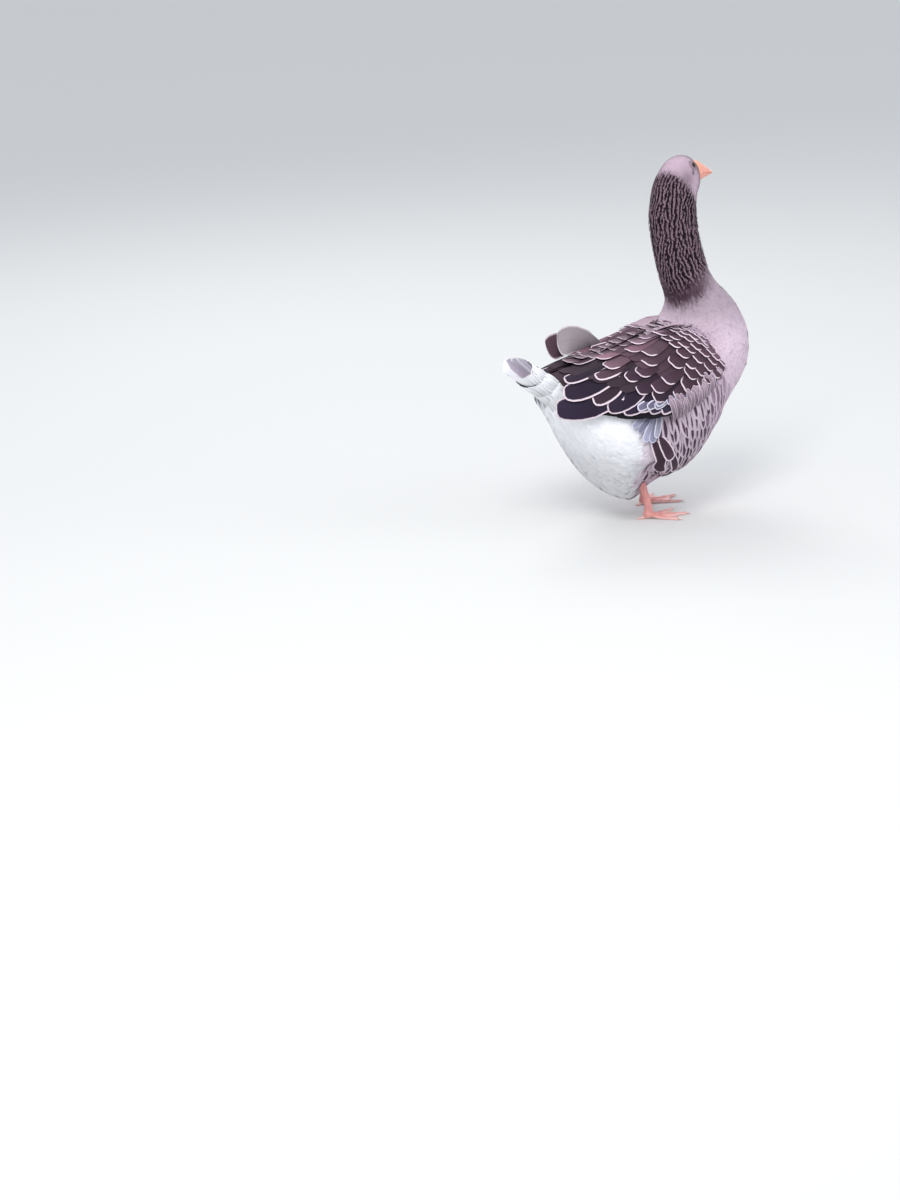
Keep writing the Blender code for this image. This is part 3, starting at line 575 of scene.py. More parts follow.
def spreadRoots(weight, spacing, seed):
    random = np.random.default_rng(seed)
    a, b, c = (skinPoints[skinFaces[:, i]] for i in range(3))
    area = np.linalg.norm(np.cross(b - a, c - a), axis=1) / 2
    faceSpacing = spacing[skinFaces].mean(axis=1)
    share = area * weight[skinFaces].mean(axis=1) / faceSpacing**2
    count = int(share.sum() * rootsTried)
    face = random.choice(len(skinFaces), count, p=share / share.sum())
    u, v = random.random((2, count))
    flip = u + v > 1
    u[flip], v[flip] = 1 - u[flip], 1 - v[flip]
    corners = skinFaces[face]
    mix = np.stack([1 - u - v, u, v], axis=1)
    points = (skinPoints[corners] * mix[..., None]).sum(1)
    reach = (spacing[corners] * mix).sum(1)
    tree = kdtree.KDTree(count)
    for i, point in enumerate(points):
        tree.insert(point, i)
    tree.balance()
    free = np.ones(count, bool)
    kept = []
    for i in range(count):
        if free[i]:
            kept.append(i)
            for found in tree.find_range(points[i], reach[i]):
                free[found[1]] = False
    kept = np.array(kept)
    normals = unit((skinNormals[corners[kept]] * mix[kept][..., None]).sum(1))
    return points[kept], normals


vanes = {
    "round": {
        "along": (0.0, 0.30, 0.55, 0.76, 0.91, 1.0), "outline": (0.25, 0.75, 1.0, 0.96, 0.70, 0.16),
        "camber": 0.10,
    },
    "narrow": {
        "along": (0.0, 0.35, 0.65, 0.88, 1.0), "outline": (0.45, 1.0, 0.92, 0.60, 0.10), "camber": 0.14
    },
    "long": {
        "along": (0.0, 0.25, 0.50, 0.68, 0.82, 0.93, 1.0),
        "outline": (0.40, 0.80, 1.0, 0.96, 0.80, 0.52, 0.10), "camber": 0.12,
    },
}
tuft = {"sink": 0.0003, "thick": 0.00010, "roll": 0.07, "uneven": 0.05}
# Each tuft's patch on the skin's unwrap
bakePatch = {"half": 0.0014, "long": 0.0028, "margin": 0.01, "span": 0.97}


def tuftMesh(name, kind, tufts, material, seed):
    # Each feather is a closed, thin, keeled vane from its root in the skin to its tip over the skin
    random = np.random.default_rng(seed)
    roots, normals, lies, lengths, widths = (
        tufts[key] for key in ("roots", "normals", "lies", "lengths", "widths")
    )
    count = len(roots)
    along = np.array(vanes[kind]["along"])
    outline = np.array(vanes[kind]["outline"])
    lies = unit(lies - normals * (lies * normals).sum(1, keepdims=True))
    tips, tipNormals, rooms = onSkin(roots + lies * lengths[:, None])
    rises = rooms * tufts["rises"] + tufts["extra"]
    turn = np.clip((lies * (tipNormals - normals)).sum(1), -0.6, 0.6)
    bulge = turn * lengths / 8
    middle = unit(normals + tipNormals)
    sides = unit(np.cross(middle, tips - roots))
    roll = random.normal(0, tuft["roll"], count)
    v = along[None, :, None]
    path = roots[:, None] * (1 - v) + tips[:, None] * v
    up = normals[:, None] * (1 - v) + tipNormals[:, None] * v
    lift = -tuft["sink"] * (1 - along)[None] + rises[:, None] * (1 - (1 - along[None]) ** 2)
    path = (
        path + up * lift[..., None]
        + middle[:, None] * (bulge[:, None] * 4 * along * (1 - along))[..., None]
    )
    half = widths[:, None] / 2 * outline[None] * (1 + random.normal(0, tuft["uneven"], (count, len(along))))
    wide = half[..., None] * (sides[:, None] + middle[:, None] * roll[:, None, None])
    keel = middle[:, None] * (half * vanes[kind]["camber"])[..., None]
    thin = middle[:, None] * tuft["thick"]
    cells = [path - wide, path + keel, path + wide, path - wide - thin, path + wide - thin]
    points = np.stack(cells, axis=2)
    stations = len(along)
    one = []
    for i in range(stations - 1):
        a, b = i * 5, (i + 1) * 5
        one += [(a, a + 1, b + 1), (a, b + 1, b), (a + 1, a + 2, b + 2), (a + 1, b + 2, b + 1)]
        one += [(a + 4, a + 3, b + 3), (a + 4, b + 3, b + 4)]
    one = np.array(one)
    faces = (one[None] + (np.arange(count) * stations * 5)[:, None, None]).reshape(-1, 3)
    made = plainObject(name, points.reshape(-1, 3), faces, material)
    acrossUnit = np.array([-1.0, 0.0, 1.0, -1.0, 1.0])
    reach = half[..., None] * acrossUnit
    far = np.broadcast_to((lengths[:, None] * along[None])[..., None], reach.shape)
    edge = np.minimum(half[..., None] * (1 - np.abs(acrossUnit)), lengths[:, None, None] - far)
    paint(made, "edge", edge.reshape(-1))
    each = stations * 5
    toTip = np.repeat(smoothStep(along, 0.30, 0.95), 5)[None, :, None]
    colour = np.ones((count, each, 4))
    colour[..., :3] = tufts["rootTints"][:, None] * (1 - toTip) + tufts["tints"][:, None] * toTip
    paint(made, "tint", colour.reshape(-1, 4))
    rim = np.ones((count, each, 4))
    rim[..., :3] = tufts["rimTints"][:, None]
    rim[..., 3] = tufts["rimWidths"][:, None] / rimUnit
    paint(made, "rimTint", rim.reshape(-1, 4))
    paintMap(made, "vane", np.stack([reach, far], axis=-1).reshape(-1, 2))
    patch = np.stack(
        [
            np.broadcast_to(acrossUnit * bakePatch["half"], reach.shape),
            np.broadcast_to((along * bakePatch["long"])[None, :, None], reach.shape),
        ],
        axis=-1,
    )
    unwrap = tufts["unwrap"]
    low, high = unwrap.min(axis=0), unwrap.max(axis=0)
    spots = bakePatch["margin"] + bakePatch["span"] * (unwrap - low) / (high - low)
    paintMap(made, "OFBake", (spots[:, None, None] + patch).reshape(-1, 2))
    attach(made, "root")
    print(name, count, "feathers,", len(faces), "triangles")
    return made


# Plumage of body, neck and head
coatLook = {
    "roughness": 0.85, "sheen": 0.03, "barb": 0.0016, "barbShade": 0.08, "shaft": 0.94, "waver": 0.0005,
    "bump": 0.3,
}
whiteLook = {
    "roughness": 0.85, "sheen": 0.10, "barb": 0.0020, "barbShade": 0.04, "shaft": 0.98, "waver": 0.0005,
    "bump": 0.3,
}
flankLook = {
    "roughness": 0.80, "sheen": 0.02, "barb": 0.0018, "barbShade": 0.12, "shaft": 0.85, "waver": 0.0016,
    "bump": 0.4,
}
coatMaterial = feather("soft contour feathers", coatLook)
whiteMaterial = feather("white down feathers", whiteLook)
flankMaterial = feather("edged flank feathers", flankLook)
coatSpread = {
    "place": 0.003, "aside": 0.09, "neckCalm": 0.6, "hang": 1.1, "eyeClear": 0.0066,
    "length": (0.85, 1.15), "width": (0.85, 1.12), "rise": (0.80, 1.10), "rim": (0.8, 1.2),
    "tint": (0.96, 1.04),
}
# The breast is lighter lower down, and the white takes painted shade lower down: heights where that changes,
# and by how much
heightShade = {
    "breast": (0.35, 0.43), "breastLow": 1.22, "breastFall": 0.50, "white": (0.10, 0.20), "whiteShadowFall": 0.24,
}
covered = underWing(skinPoints, skinNormals)
skinSpacing = blendOf(skinShares, "spacing")
eyeGap = np.min([np.linalg.norm(skinPoints - np.array(spot), axis=1) for spot in eyeSpots.values()], axis=0)
skinAhead = headSide(skinPoints)
atBill = skinT > lineNames.index("lores") + 0.15

# Soft lighter and darker places of the head: place in the bird's frame, reach, how much lighter
headMarks = {
    "ear": (0.080, 0.034, 0.668, 0.018, -0.44), "lores": (0.128, 0.024, 0.680, 0.009, -0.45),
    "cheek": (0.108, 0.032, 0.650, 0.016, 0.38), "crown": (0.098, 0.000, 0.705, 0.026, 0.10),
}
# Where the tail starts and how steeply it rises, and how far the small feathers of the skin reach along it
tailAxis = {"from": (-0.222, 0.0, 0.287), "rise": 38.0, "coatTo": 0.004, "behind": -0.19}
tailAhead = np.array([
    -math.cos(math.radians(tailAxis["rise"])), 0.0, math.sin(math.radians(tailAxis["rise"]))
])
pastTail = (
    ((skinPoints - shift - np.array(tailAxis["from"])) @ tailAhead > tailAxis["coatTo"])
    & (skinPoints[:, 0] - shift[0] < tailAxis["behind"])
)


def headShade(points):
    shade = np.ones(len(points))
    for x, y, z, reach, lighter in headMarks.values():
        for sign in (-1, 1):
            gap = np.linalg.norm(points - np.array(at(x, sign * y, z)), axis=1)
            shade = shade * (1 + lighter * (1.0 if y else 0.5) * np.exp(-((gap / reach) ** 2)))
    return shade


# Painted shade in the hollow of each eye: a dark crease that runs back and down from the eye, and a dark ring
# round it
eyeSocketShadow = {
    "back": 0.009, "down": 0.012, "aside": 0.034, "wide": 0.0036, "depth": 0.78,
    "ring": 0.0085, "ringWide": 0.0022, "ringDepth": 0.7,
}


def paintedEyeShadow(points):
    # How much painted shade each point takes from the hollows round the eyes
    shade = np.zeros(len(points))
    for name, sign in (("left", 1), ("right", -1)):
        start = np.array(eyeSpots[name])
        x, y, z = pose["leftEye"]
        end = start + np.array(
            at(x - eyeSocketShadow["back"], sign * eyeSocketShadow["aside"], z - eyeSocketShadow["down"]) - at(x, sign * y, z)
        )
        along = np.clip(((points - start) @ (end - start)) / ((end - start) @ (end - start)), 0, 1)
        gap = np.linalg.norm(points - start - along[:, None] * (end - start), axis=1)
        fromRing = np.linalg.norm(points - start, axis=1) - eyeSocketShadow["ring"]
        near = np.exp(-(fromRing / eyeSocketShadow["ringWide"]) ** 2)
        creaseShadow = np.exp(-((gap / eyeSocketShadow["wide"]) ** 2))
        shade = np.maximum(shade, np.maximum(creaseShadow, eyeSocketShadow["ringDepth"] * near))
    return shade * eyeSocketShadow["depth"]


def makeCoat(name, kind, chosen, seed, material):
    weight = np.where(chosen & ~covered & (eyeGap > coatSpread["eyeClear"]) & ~atBill & ~pastTail, 1.0, 0.0)
    roots, normals = spreadRoots(weight, skinSpacing, seed)
    random = np.random.default_rng(seed + 1)
    t, angle, lies, around, radius = bodyPlace(roots)
    shares = tractShares(roots + random.normal(0, coatSpread["place"], roots.shape), t, angle)
    count = len(roots)
    down = np.array([0.0, 0.0, -1.0])
    lies = unit(lies + coatSpread["hang"] * shares["flank"][:, None] * down)
    sideways = unit(np.cross(normals, lies))
    calm = 1 - coatSpread["neckCalm"] * shares["neck"][:, None]
    lies = unit(lies + sideways * random.normal(0, coatSpread["aside"], (count, 1)) * calm)
    lengths = blendOf(shares, "length") * random.uniform(*coatSpread["length"], count)
    widths = blendOf(shares, "width") * random.uniform(*coatSpread["width"], count)
    rises = blendOf(shares, "rise") * random.uniform(*coatSpread["rise"], count)
    extra = np.zeros(count)
    tints = blendOf(shares, "tint")
    rootTints = blendOf(shares, "root")
    rimTints = blendOf(shares, "rim")
    rimWidths = blendOf(shares, "rimWidth") * random.uniform(*coatSpread["rim"], count)
    neck = shares["neck"][:, None]
    if shares["neck"].max() > 0.1:
        phase, roundRate, alongRate = furrowPhase(t, angle)
        rate = roundRate / radius
        ridge = unit(around * np.clip(alongRate / rate, -1.0, 1.0)[:, None] + lies)
        lies = unit(lies * (1 - neck) + ridge * neck)
        tipT, tipAngle = bodyPlace(roots + lies * (lengths * furrows["seenAt"])[:, None])[:2]
        crest = smoothStep(np.cos(furrowPhase(tipT, tipAngle)[0]), furrows["groove"], furrows["ridge"])
        groove = (shares["neck"] * (1 - crest))[:, None]
        tints = tints * (1 - groove) + rootTints * 1.15 * groove
        rimTints = rimTints * (1 - groove) + rootTints * 1.25 * groove
        rises = rises * (1 - 0.75 * groove[:, 0])
        extra = furrows["lift"] * (crest - 0.5) * shares["neck"]
    height = (roots - shift)[:, 2]
    breastHigh = smoothStep(height, *heightShade["breast"])
    breastShade = heightShade["breastLow"] - heightShade["breastFall"] * breastHigh
    # Painted shade on the white feathers, deeper lower down where they face away from the light
    whiteShadowFall = heightShade["whiteShadowFall"] * (1 - smoothStep(height, *heightShade["white"]))
    whitePaintedShade = 1 - whiteShadowFall * shares["belly"]
    # Each tint is dimmed by painted shade round the eyes and low on the white, and by the head's marks and the
    # breast's height
    dim = (
        (1 - paintedEyeShadow(roots)) * headShade(roots) * whitePaintedShade * (1 + (breastShade - 1) * shares["breast"])
    )[:, None]
    shade = random.uniform(*coatSpread["tint"], (count, 1)) * dim
    tufts = {
        "roots": roots, "normals": normals, "lies": lies, "lengths": lengths, "widths": widths,
        "rises": rises, "extra": extra, "tints": tints * shade, "rootTints": rootTints * shade,
        "rimTints": rimTints * dim, "rimWidths": rimWidths, "unwrap": np.stack([angle, t], axis=1),
    }
    return tuftMesh(name, kind, tufts, material, seed + 2)


white = skinShares["belly"] > 0.5
striped = (skinShares["flank"] > 0.6) & (skinPoints[:, 2] > 0.10)
highNeck = skinPoints[:, 2] > 0.57
neckLine = neckSide(skinPoints, skinAngle) > 0.0
makeCoat("headFeathers", "narrow", skinAhead > 0, 21, coatMaterial)
makeCoat(
    "upperNeckFeathers", "narrow", (skinAhead <= 0) & neckLine & highNeck, 22, coatMaterial
)
makeCoat(
    "lowerNeckFeathers", "narrow", (skinAhead <= 0) & neckLine & ~highNeck, 23, coatMaterial
)
makeCoat("breastFeathers", "round", ~neckLine & ~white & ~striped, 24, coatMaterial)
makeCoat("whiteFeathers", "round", ~neckLine & white, 25, whiteMaterial)

# Flank feathers hang in upright columns, set round an upright axis by their bearing from the bird's front
flanks = {
    "axisX": -0.020, "bearings": (30, 114), "step": 5.3, "low": 0.098, "high": 0.350, "drop": 0.0215,
    "length": 0.052, "width": 0.0172, "rimWidth": 0.0074, "slant": 0.16, "dark": "4F394A", "pale": "BFAEBB",
    "breast": "BBA4B7", "breastTo": (32, 66), "likeBreast": 0.92, "rootPaintedShade": 0.8, "leastShare": 0.35,
}
flankSpread = {
    "lie": 0.05, "length": (0.9, 1.1), "width": (0.85, 1.1), "rise": (0.85, 1.15), "rimWidth": (0.8, 1.15),
    "tint": (0.88, 1.10),
}


def flankFeathers():
    random = np.random.default_rng(51)
    roots, normals, bearings = [], [], []
    for sign in (-1, 1):
        for bearing in np.arange(*flanks["bearings"], flanks["step"]):
            start = random.uniform(0, flanks["drop"])
            for z in np.arange(flanks["low"] + start, flanks["high"], flanks["drop"]):
                turn = math.radians(bearing + random.normal(0, 0.7))
                origin = Vector((flanks["axisX"] + shift[0], shift[1], z + random.normal(0, 0.0015)))
                aim = Vector((math.cos(turn), sign * math.sin(turn), 0))
                place, normal = skinTree.ray_cast(origin, aim)[:2]
                if place is not None:
                    roots.append(place)
                    normals.append(normal)
                    bearings.append(bearing)
    roots, normals, bearings = np.array(roots), np.array(normals), np.array(bearings)
    t, angle = bodyPlace(roots)[:2]
    shares = tractShares(roots, t, angle)
    keep = (
        (shares["flank"] > flanks["leastShare"]) & (roots[:, 2] > flanks["low"])
        & ~underWing(roots, normals)
    )
    roots, normals, bearings, t, angle = (rows[keep] for rows in (roots, normals, bearings, t, angle))
    count = len(roots)
    aside = smoothStep(bearings + random.normal(0, 4, count), *flanks["breastTo"])
    toBreast = (1 - aside)[:, None] * flanks["likeBreast"]
    dark = mixed(flanks["dark"], flanks["breast"], toBreast)
    pale = mixed(flanks["pale"], flanks["breast"], toBreast)
    shade = random.uniform(*flankSpread["tint"], (count, 1))
    tufts = {
        "roots": roots, "normals": normals,
        "lies": np.array([flanks["slant"], 0.0, -1.0]) + random.normal(0, flankSpread["lie"], (count, 3)),
        "lengths": flanks["length"] * random.uniform(*flankSpread["length"], count),
        "widths": flanks["width"] * random.uniform(*flankSpread["width"], count),
        "rises": random.uniform(*flankSpread["rise"], count), "extra": np.zeros(count),
        # Root tints are darker: painted shade where the feather above covers each root
        "tints": dark * shade, "rootTints": dark * shade * flanks["rootPaintedShade"], "rimTints": pale * shade,
        "rimWidths": flanks["rimWidth"] * random.uniform(*flankSpread["rimWidth"], count),
        "unwrap": np.stack([angle, t], axis=1),
    }
    return tuftMesh("flankFeathers", "long", tufts, flankMaterial, 52)


flankFeathers()

# Edges of the folded left wing from shoulder to rear, as the solids have them
wingEdges = {
    "top": (
        (0.080, 0.058, 0.376), (0.012, 0.034, 0.374), (-0.065, 0.018, 0.354), (-0.140, 0.009, 0.338),
        (-0.205, 0.006, 0.326), (-0.255, 0.008, 0.316),
    ),
    "low": (
        (0.146, 0.092, 0.330), (0.088, 0.123, 0.298), (0.006, 0.141, 0.270), (-0.085, 0.142, 0.247),
        (-0.178, 0.105, 0.247), (-0.245, 0.054, 0.262),
    ),
}


def wingPoint(s, r):
    s, r = np.asarray(s, float), np.asarray(r, float)
    top = through(wingEdges["top"], s * 5)
    low = through(wingEdges["low"], s * 5)
    beyond = np.maximum(s - 1, 0)[..., None] * (
        through(wingEdges["low"], 5.0) - through(wingEdges["low"], 4.0)
    ) * 5
    down = r * math.pi / 2
    out = np.sin(np.minimum(down, math.pi / 2))[..., None]
    fall = (1 - np.cos(down))[..., None]
    mix = np.concatenate([fall, out, fall], axis=-1)
    return top + (low - top) * mix + beyond


def wingNormal(s, r):
    step = 0.01
    along = wingPoint(np.minimum(s + step, 1), r) - wingPoint(np.maximum(s - step, 0), r)
    across = wingPoint(s, r + step) - wingPoint(s, r - step)
    normal = unit(np.cross(along, across))
    return np.where(normal[..., 1:2] < 0, -normal, normal)


# A place on the folded wing is s, from shoulder 0 to rear 1, and r, from its top edge 0 to its lower edge 1.
# Rows of the wing: count, then first and last feather of each: tip s, tip r, length in s, swing down, half
# width, base and rim colours, rim width, length of the rimmed tip
wingRows = {
    "primaries": (6, (0.830, 0.93), (0.56, 1.11), 0.48, 0.05, 0.0105, "1D1721", "6A5C6B", 0.0006, 0.060),
    "lesserCovertsA": (
        7, (0.236, 0.12), (0.300, 1.02), 0.17, 0.25, 0.0150, "4E3845", "E2CFDA", 0.0043, 0.007
    ),
    "lesserCovertsB": (
        7, (0.212, 0.14), (0.236, 1.03), 0.16, 0.25, 0.0145, "503A46", "E2CFDA", 0.0043, 0.007
    ),
    "lesserCovertsC": (
        7, (0.158, 0.14), (0.190, 1.02), 0.15, 0.25, 0.0140, "553E4B", "E0CDD8", 0.0042, 0.007
    ),
    "lesserCovertsD": (
        8, (0.118, 0.14), (0.146, 1.01), 0.14, 0.25, 0.0130, "6A5161", "DDCAD5", 0.0039, 0.006
    ),
    "lesserCovertsE": (
        8, (0.084, 0.12), (0.108, 1.00), 0.12, 0.25, 0.0120, "80677B", "D8C5D1", 0.0035, 0.006
    ),
    "shoulderA": (8, (0.054, 0.12), (0.076, 0.98), 0.11, 0.25, 0.0110, "9A8294", "CFBBC9", 0.0029, 0.005),
    "shoulderB": (8, (0.028, 0.12), (0.048, 0.95), 0.10, 0.25, 0.0105, "AE96AB", "C7B1C2", 0.0020, 0.005),
    "edgeCoverts": (7, (0.64, 0.93), (0.45, 1.03), 0.13, 0.50, 0.0085, "77738C", "D9D6E6", 0.0040, 0.040),
    "mantleRow": (4, (0.24, -0.04), (0.08, 0.06), 0.15, 0.40, 0.0150, "AF99A6", "D0BDC9", 0.0022, 0.008),
    "fillTertials": (6, (0.815, 0.12), (0.640, 0.62), 0.30, 0.35, 0.0165, "3F313C", "DCC9D3", 0.0002, 0.030),
    "fillMiddle": (7, (0.480, -0.02), (0.450, 0.66), 0.24, 0.30, 0.0175, "553F4B", "DCC9D3", 0.0002, 0.010),
}
# Large feathers of the wing, one by one: tip s, tip r, length in s, swing down, half width, base colour,
# length of the rimmed tip
largeFeathers = {
    "lowestTertial": (0.995, 1.05, 0.46, 1.25, 0.0255, "31273B", 0.20),
    "lowTertial": (0.915, 0.63, 0.42, 0.80, 0.0235, "2B2132", 0.20),
    "midTertial": (0.860, 0.35, 0.38, 0.50, 0.0175, "2C2131", 0.20),
    "highTertial": (0.700, 0.06, 0.26, 0.40, 0.0150, "4A3542", 0.20),
    "slantedLow": (0.700, 0.96, 0.26, 0.90, 0.0140, "30263A", 0.08),
    "slantedMid": (0.755, 0.90, 0.30, 1.10, 0.0160, "32273A", 0.10),
    "slantedHigh": (0.800, 0.77, 0.31, 1.40, 0.0175, "40303D", 0.20),
    "secondaryA": (0.640, 0.95, 0.24, 0.60, 0.0130, "31273A", 0.030),
    "secondaryB": (0.600, 1.00, 0.22, 0.40, 0.0130, "33293D", 0.030),
    "secondaryC": (0.555, 1.06, 0.20, 0.30, 0.0120, "3A3148", 0.030),
    "covertOverTertials": (0.700, 0.40, 0.25, 0.30, 0.0150, "573F4B", 0.05),
    "greaterCovertA": (0.584, 0.53, 0.22, 0.30, 0.0150, "412E3D", 0.012),
    "greaterCovertB": (0.590, 0.71, 0.22, 0.30, 0.0155, "3F2D3C", 0.012),
    "greaterCovertC": (0.550, 0.86, 0.21, 0.30, 0.0155, "3C2C3B", 0.012),
    "greaterCovertD": (0.505, 1.02, 0.20, 0.25, 0.0150, "3D2E3E", 0.012),
    "medianCovertA": (0.516, 0.53, 0.20, 0.30, 0.0180, "4B3543", 0.012),
    "medianCovertB": (0.520, 0.75, 0.20, 0.25, 0.0185, "483341", 0.012),
    "medianCovertC": (0.462, 0.95, 0.19, 0.20, 0.0170, "483341", 0.012),
    "medianCovertD": (0.448, 0.72, 0.19, 0.25, 0.0180, "4C3644", 0.012),
    "medianCovertE": (0.400, 0.92, 0.18, 0.20, 0.0170, "4C3644", 0.012),
    "medianCovertF": (0.350, 0.62, 0.18, 0.25, 0.0175, "4F3946", 0.010),
    "medianCovertG": (0.338, 0.82, 0.17, 0.22, 0.0170, "4F3946", 0.010),
    "medianCovertH": (0.330, 1.01, 0.16, 0.20, 0.0155, "523C49", 0.010),
    "hindScapular": (0.575, 0.10, 0.24, 0.30, 0.0205, "916E7D", 0.016),
    "lowScapular": (0.602, 0.29, 0.24, 0.45, 0.0190, "7E5F6D", 0.016),
    "wideScapular": (0.440, 0.44, 0.19, 0.30, 0.0190, "5B4350", 0.012),
    "midScapular": (0.424, 0.18, 0.19, 0.30, 0.0200, "7C5C6B", 0.012),
    "foreWideScapular": (0.386, 0.32, 0.18, 0.30, 0.0195, "6E5563", 0.012),
    "foreScapular": (0.360, 0.10, 0.18, 0.30, 0.0185, "836878", 0.012),
    "upperScapular": (0.305, 0.06, 0.17, 0.30, 0.0170, "80677A", 0.010),
    "shoulderScapular": (0.232, 0.04, 0.16, 0.30, 0.0165, "8B7283", 0.010),
}
largeRim = {"colour": "DECCD6", "width": 0.0046}
heldIn = (0.860, 0.70)  # where the left wing's two lowest feathers end, in behind the tail
sunkenRows = {"primaries": 0.0026, "edgeCoverts": -0.0012, "fillMiddle": 0.0022, "fillTertials": 0.0018}
tipLift = {"least": -0.0008, "forward": 0.0030, "upward": 0.0016}
# A large feather's vane; its top takes painted shade towards the root, where the feather above covers it
bigVane = {
    "along": (0.0, 0.12, 0.28, 0.45, 0.60, 0.72, 0.82, 0.90, 0.955, 0.985, 1.0),
    "outline": (0.30, 0.58, 0.80, 0.93, 0.99, 1.0, 0.97, 0.88, 0.71, 0.50, 0.20),
    "across": (-1.0, -0.86, -0.5, 0.0, 0.5, 0.86, 1.0),
    "camber": 0.16, "thick": 0.0005, "shaft": 0.0006, "tilt": 7.0, "rootDepth": -0.0052, "rootPaintedShade": 0.68,
}
vaneAlong = np.array(bigVane["along"])
rimEnd = 0.45  # how fast a rim ends past the length of its tip
raisedRim = {"width": 0.0050, "length": 0.078}
rowScatter = {
    "s": 0.007, "r": 0.012, "swing": 0.12, "tilt": 1.5, "length": (0.95, 1.05), "halfWidth": (0.94, 1.08),
    "tint": (0.85, 1.15), "rim": (0.92, 1.03), "rimWidth": (0.85, 1.15),
}
# Two feathers of the left wing that stand up, their undersides to the right: path, half width, how steeply
# they stand along it, base and rim colours
raisedFeathers = {
    "upper": (
        (
            (-0.056, 0.046, 0.330), (-0.086, 0.050, 0.346), (-0.116, 0.053, 0.361), (-0.143, 0.054, 0.363),
            (-0.166, 0.052, 0.358),
        ),
        0.0310, (6, 48, 76, 84, 80), "B5ABB0", "F2E9EE",
    ),
    "lower": (
        (
            (-0.070, 0.062, 0.331), (-0.102, 0.070, 0.342), (-0.132, 0.075, 0.350), (-0.158, 0.076, 0.350),
            (-0.176, 0.074, 0.344),
        ),
        0.0270, (6, 48, 78, 86, 82), "6B535F", "E2CFD8",
    ),
}


def bigFeather(path, ups, halfWidth, tilt, camber):
    # Top and underside of one flight feather or covert as two grids that meet all round
    across = np.array(bigVane["across"])
    ahead = unit(np.gradient(path, axis=0))
    side = unit(np.cross(ups, ahead))
    up = unit(np.cross(ahead, side))
    tilt = math.radians(tilt)
    side, up = side * math.cos(tilt) + up * math.sin(tilt), up * math.cos(tilt) - side * math.sin(tilt)
    half = halfWidth * np.array(bigVane["outline"])
    reach = half[:, None] * across
    bend = -camber * half[:, None] * across**2
    top = path[:, None] + side[:, None] * reach[..., None] + up[:, None] * bend[..., None]
    thick = bigVane["thick"] * (1 - 0.7 * np.abs(across)) * np.ones((len(vaneAlong), 1))
    shaft = bigVane["shaft"] * np.exp(-((across / 0.12) ** 2)) * (1 - vaneAlong[:, None])
    under = top - up[:, None] * (thick + shaft)[..., None]
    length = np.linalg.norm(np.diff(path, axis=0), axis=1).sum()
    far = np.broadcast_to((length * vaneAlong)[:, None], reach.shape)
    edge = np.minimum(half[:, None] * (1 - np.abs(across)), length - far)
    return top, under, reach, far, edge


def bigFeatherMesh(name, feathers, material, replaced):
    rows, columns = len(vaneAlong), len(bigVane["across"])
    grid = []
    for i in range(rows - 1):
        for j in range(columns - 1):
            a = i * columns + j
            grid += [(a, a + 1, a + columns + 1), (a, a + columns + 1, a + columns)]
    grid = np.array(grid)
    each = rows * columns
    rim = gridRim(rows, columns)
    after = np.roll(rim, -1)
    walls = np.concatenate([
        np.stack([rim, after, after + each], axis=1), np.stack([rim, after + each, rim + each], axis=1)
    ])
    one = np.concatenate([grid, grid[:, ::-1] + each, walls])
    points, faces, tints, rims, edges, vane, bake = [], [], [], [], [], [], []
    side = math.ceil(math.sqrt(len(feathers)))
    for k, (shape, tint, rimTint, rimWidth) in enumerate(feathers):
        top, under, reach, far, edge = shape
        outward = np.cross(top[1, 0] - top[0, 0], top[0, -1] - top[0, 0])
        flip = np.dot(outward, top[3, 3] - under[3, 3]) > 0
        points += [top.reshape(-1, 3), under.reshape(-1, 3)]
        faces.append((one[:, ::-1] if flip else one) + 2 * each * k)
        # Painted shade on each feather's top, deeper towards its root where the feather above covers it
        toTip = smoothStep(vaneAlong, 0.55, 0.95)
        fade = np.repeat(bigVane["rootPaintedShade"] + (1 - bigVane["rootPaintedShade"]) * toTip, columns)[:, None]
        for half in range(2):
            shaded = tint * fade if half == 0 else np.tile(tint * 1.1, (each, 1))
            tints.append(np.concatenate([shaded, np.ones((each, 1))], axis=1))
            rims.append(np.tile(np.append(rimTint, rimWidth / rimUnit), (each, 1)))
            edges.append(edge.reshape(-1))
            vane.append(np.stack([reach, far], axis=-1).reshape(-1, 2))
            spot = np.array([k % side, k // side]) / side
            size = 0.92 / side
            u = (reach / (2 * np.abs(reach).max()) + 0.5) * 0.5 + 0.5 * half
            bake.append(
                np.stack(
                    [spot[0] + 0.02 / side + size * u, spot[1] + 0.02 / side + size * far / far.max()],
                    axis=-1,
                ).reshape(-1, 2)
            )
    made = plainObject(name, np.concatenate(points), np.concatenate(faces), material)
    made.data.set_sharp_from_angle(angle=math.radians(60))
    paint(made, "tint", np.concatenate(tints))
    paint(made, "rimTint", np.concatenate(rims))
    paint(made, "edge", np.concatenate(edges))
    paintMap(made, "vane", np.concatenate(vane))
    paintMap(made, "OFBake", np.concatenate(bake))
    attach(made, "root")
    if replaced:
        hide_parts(replaced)
    print(name, len(feathers), "feathers")
    return made


def mirrored(points, side):
    points = np.array(points, float)
    if side < 0:
        points[..., 1] *= -1
    return points + shift


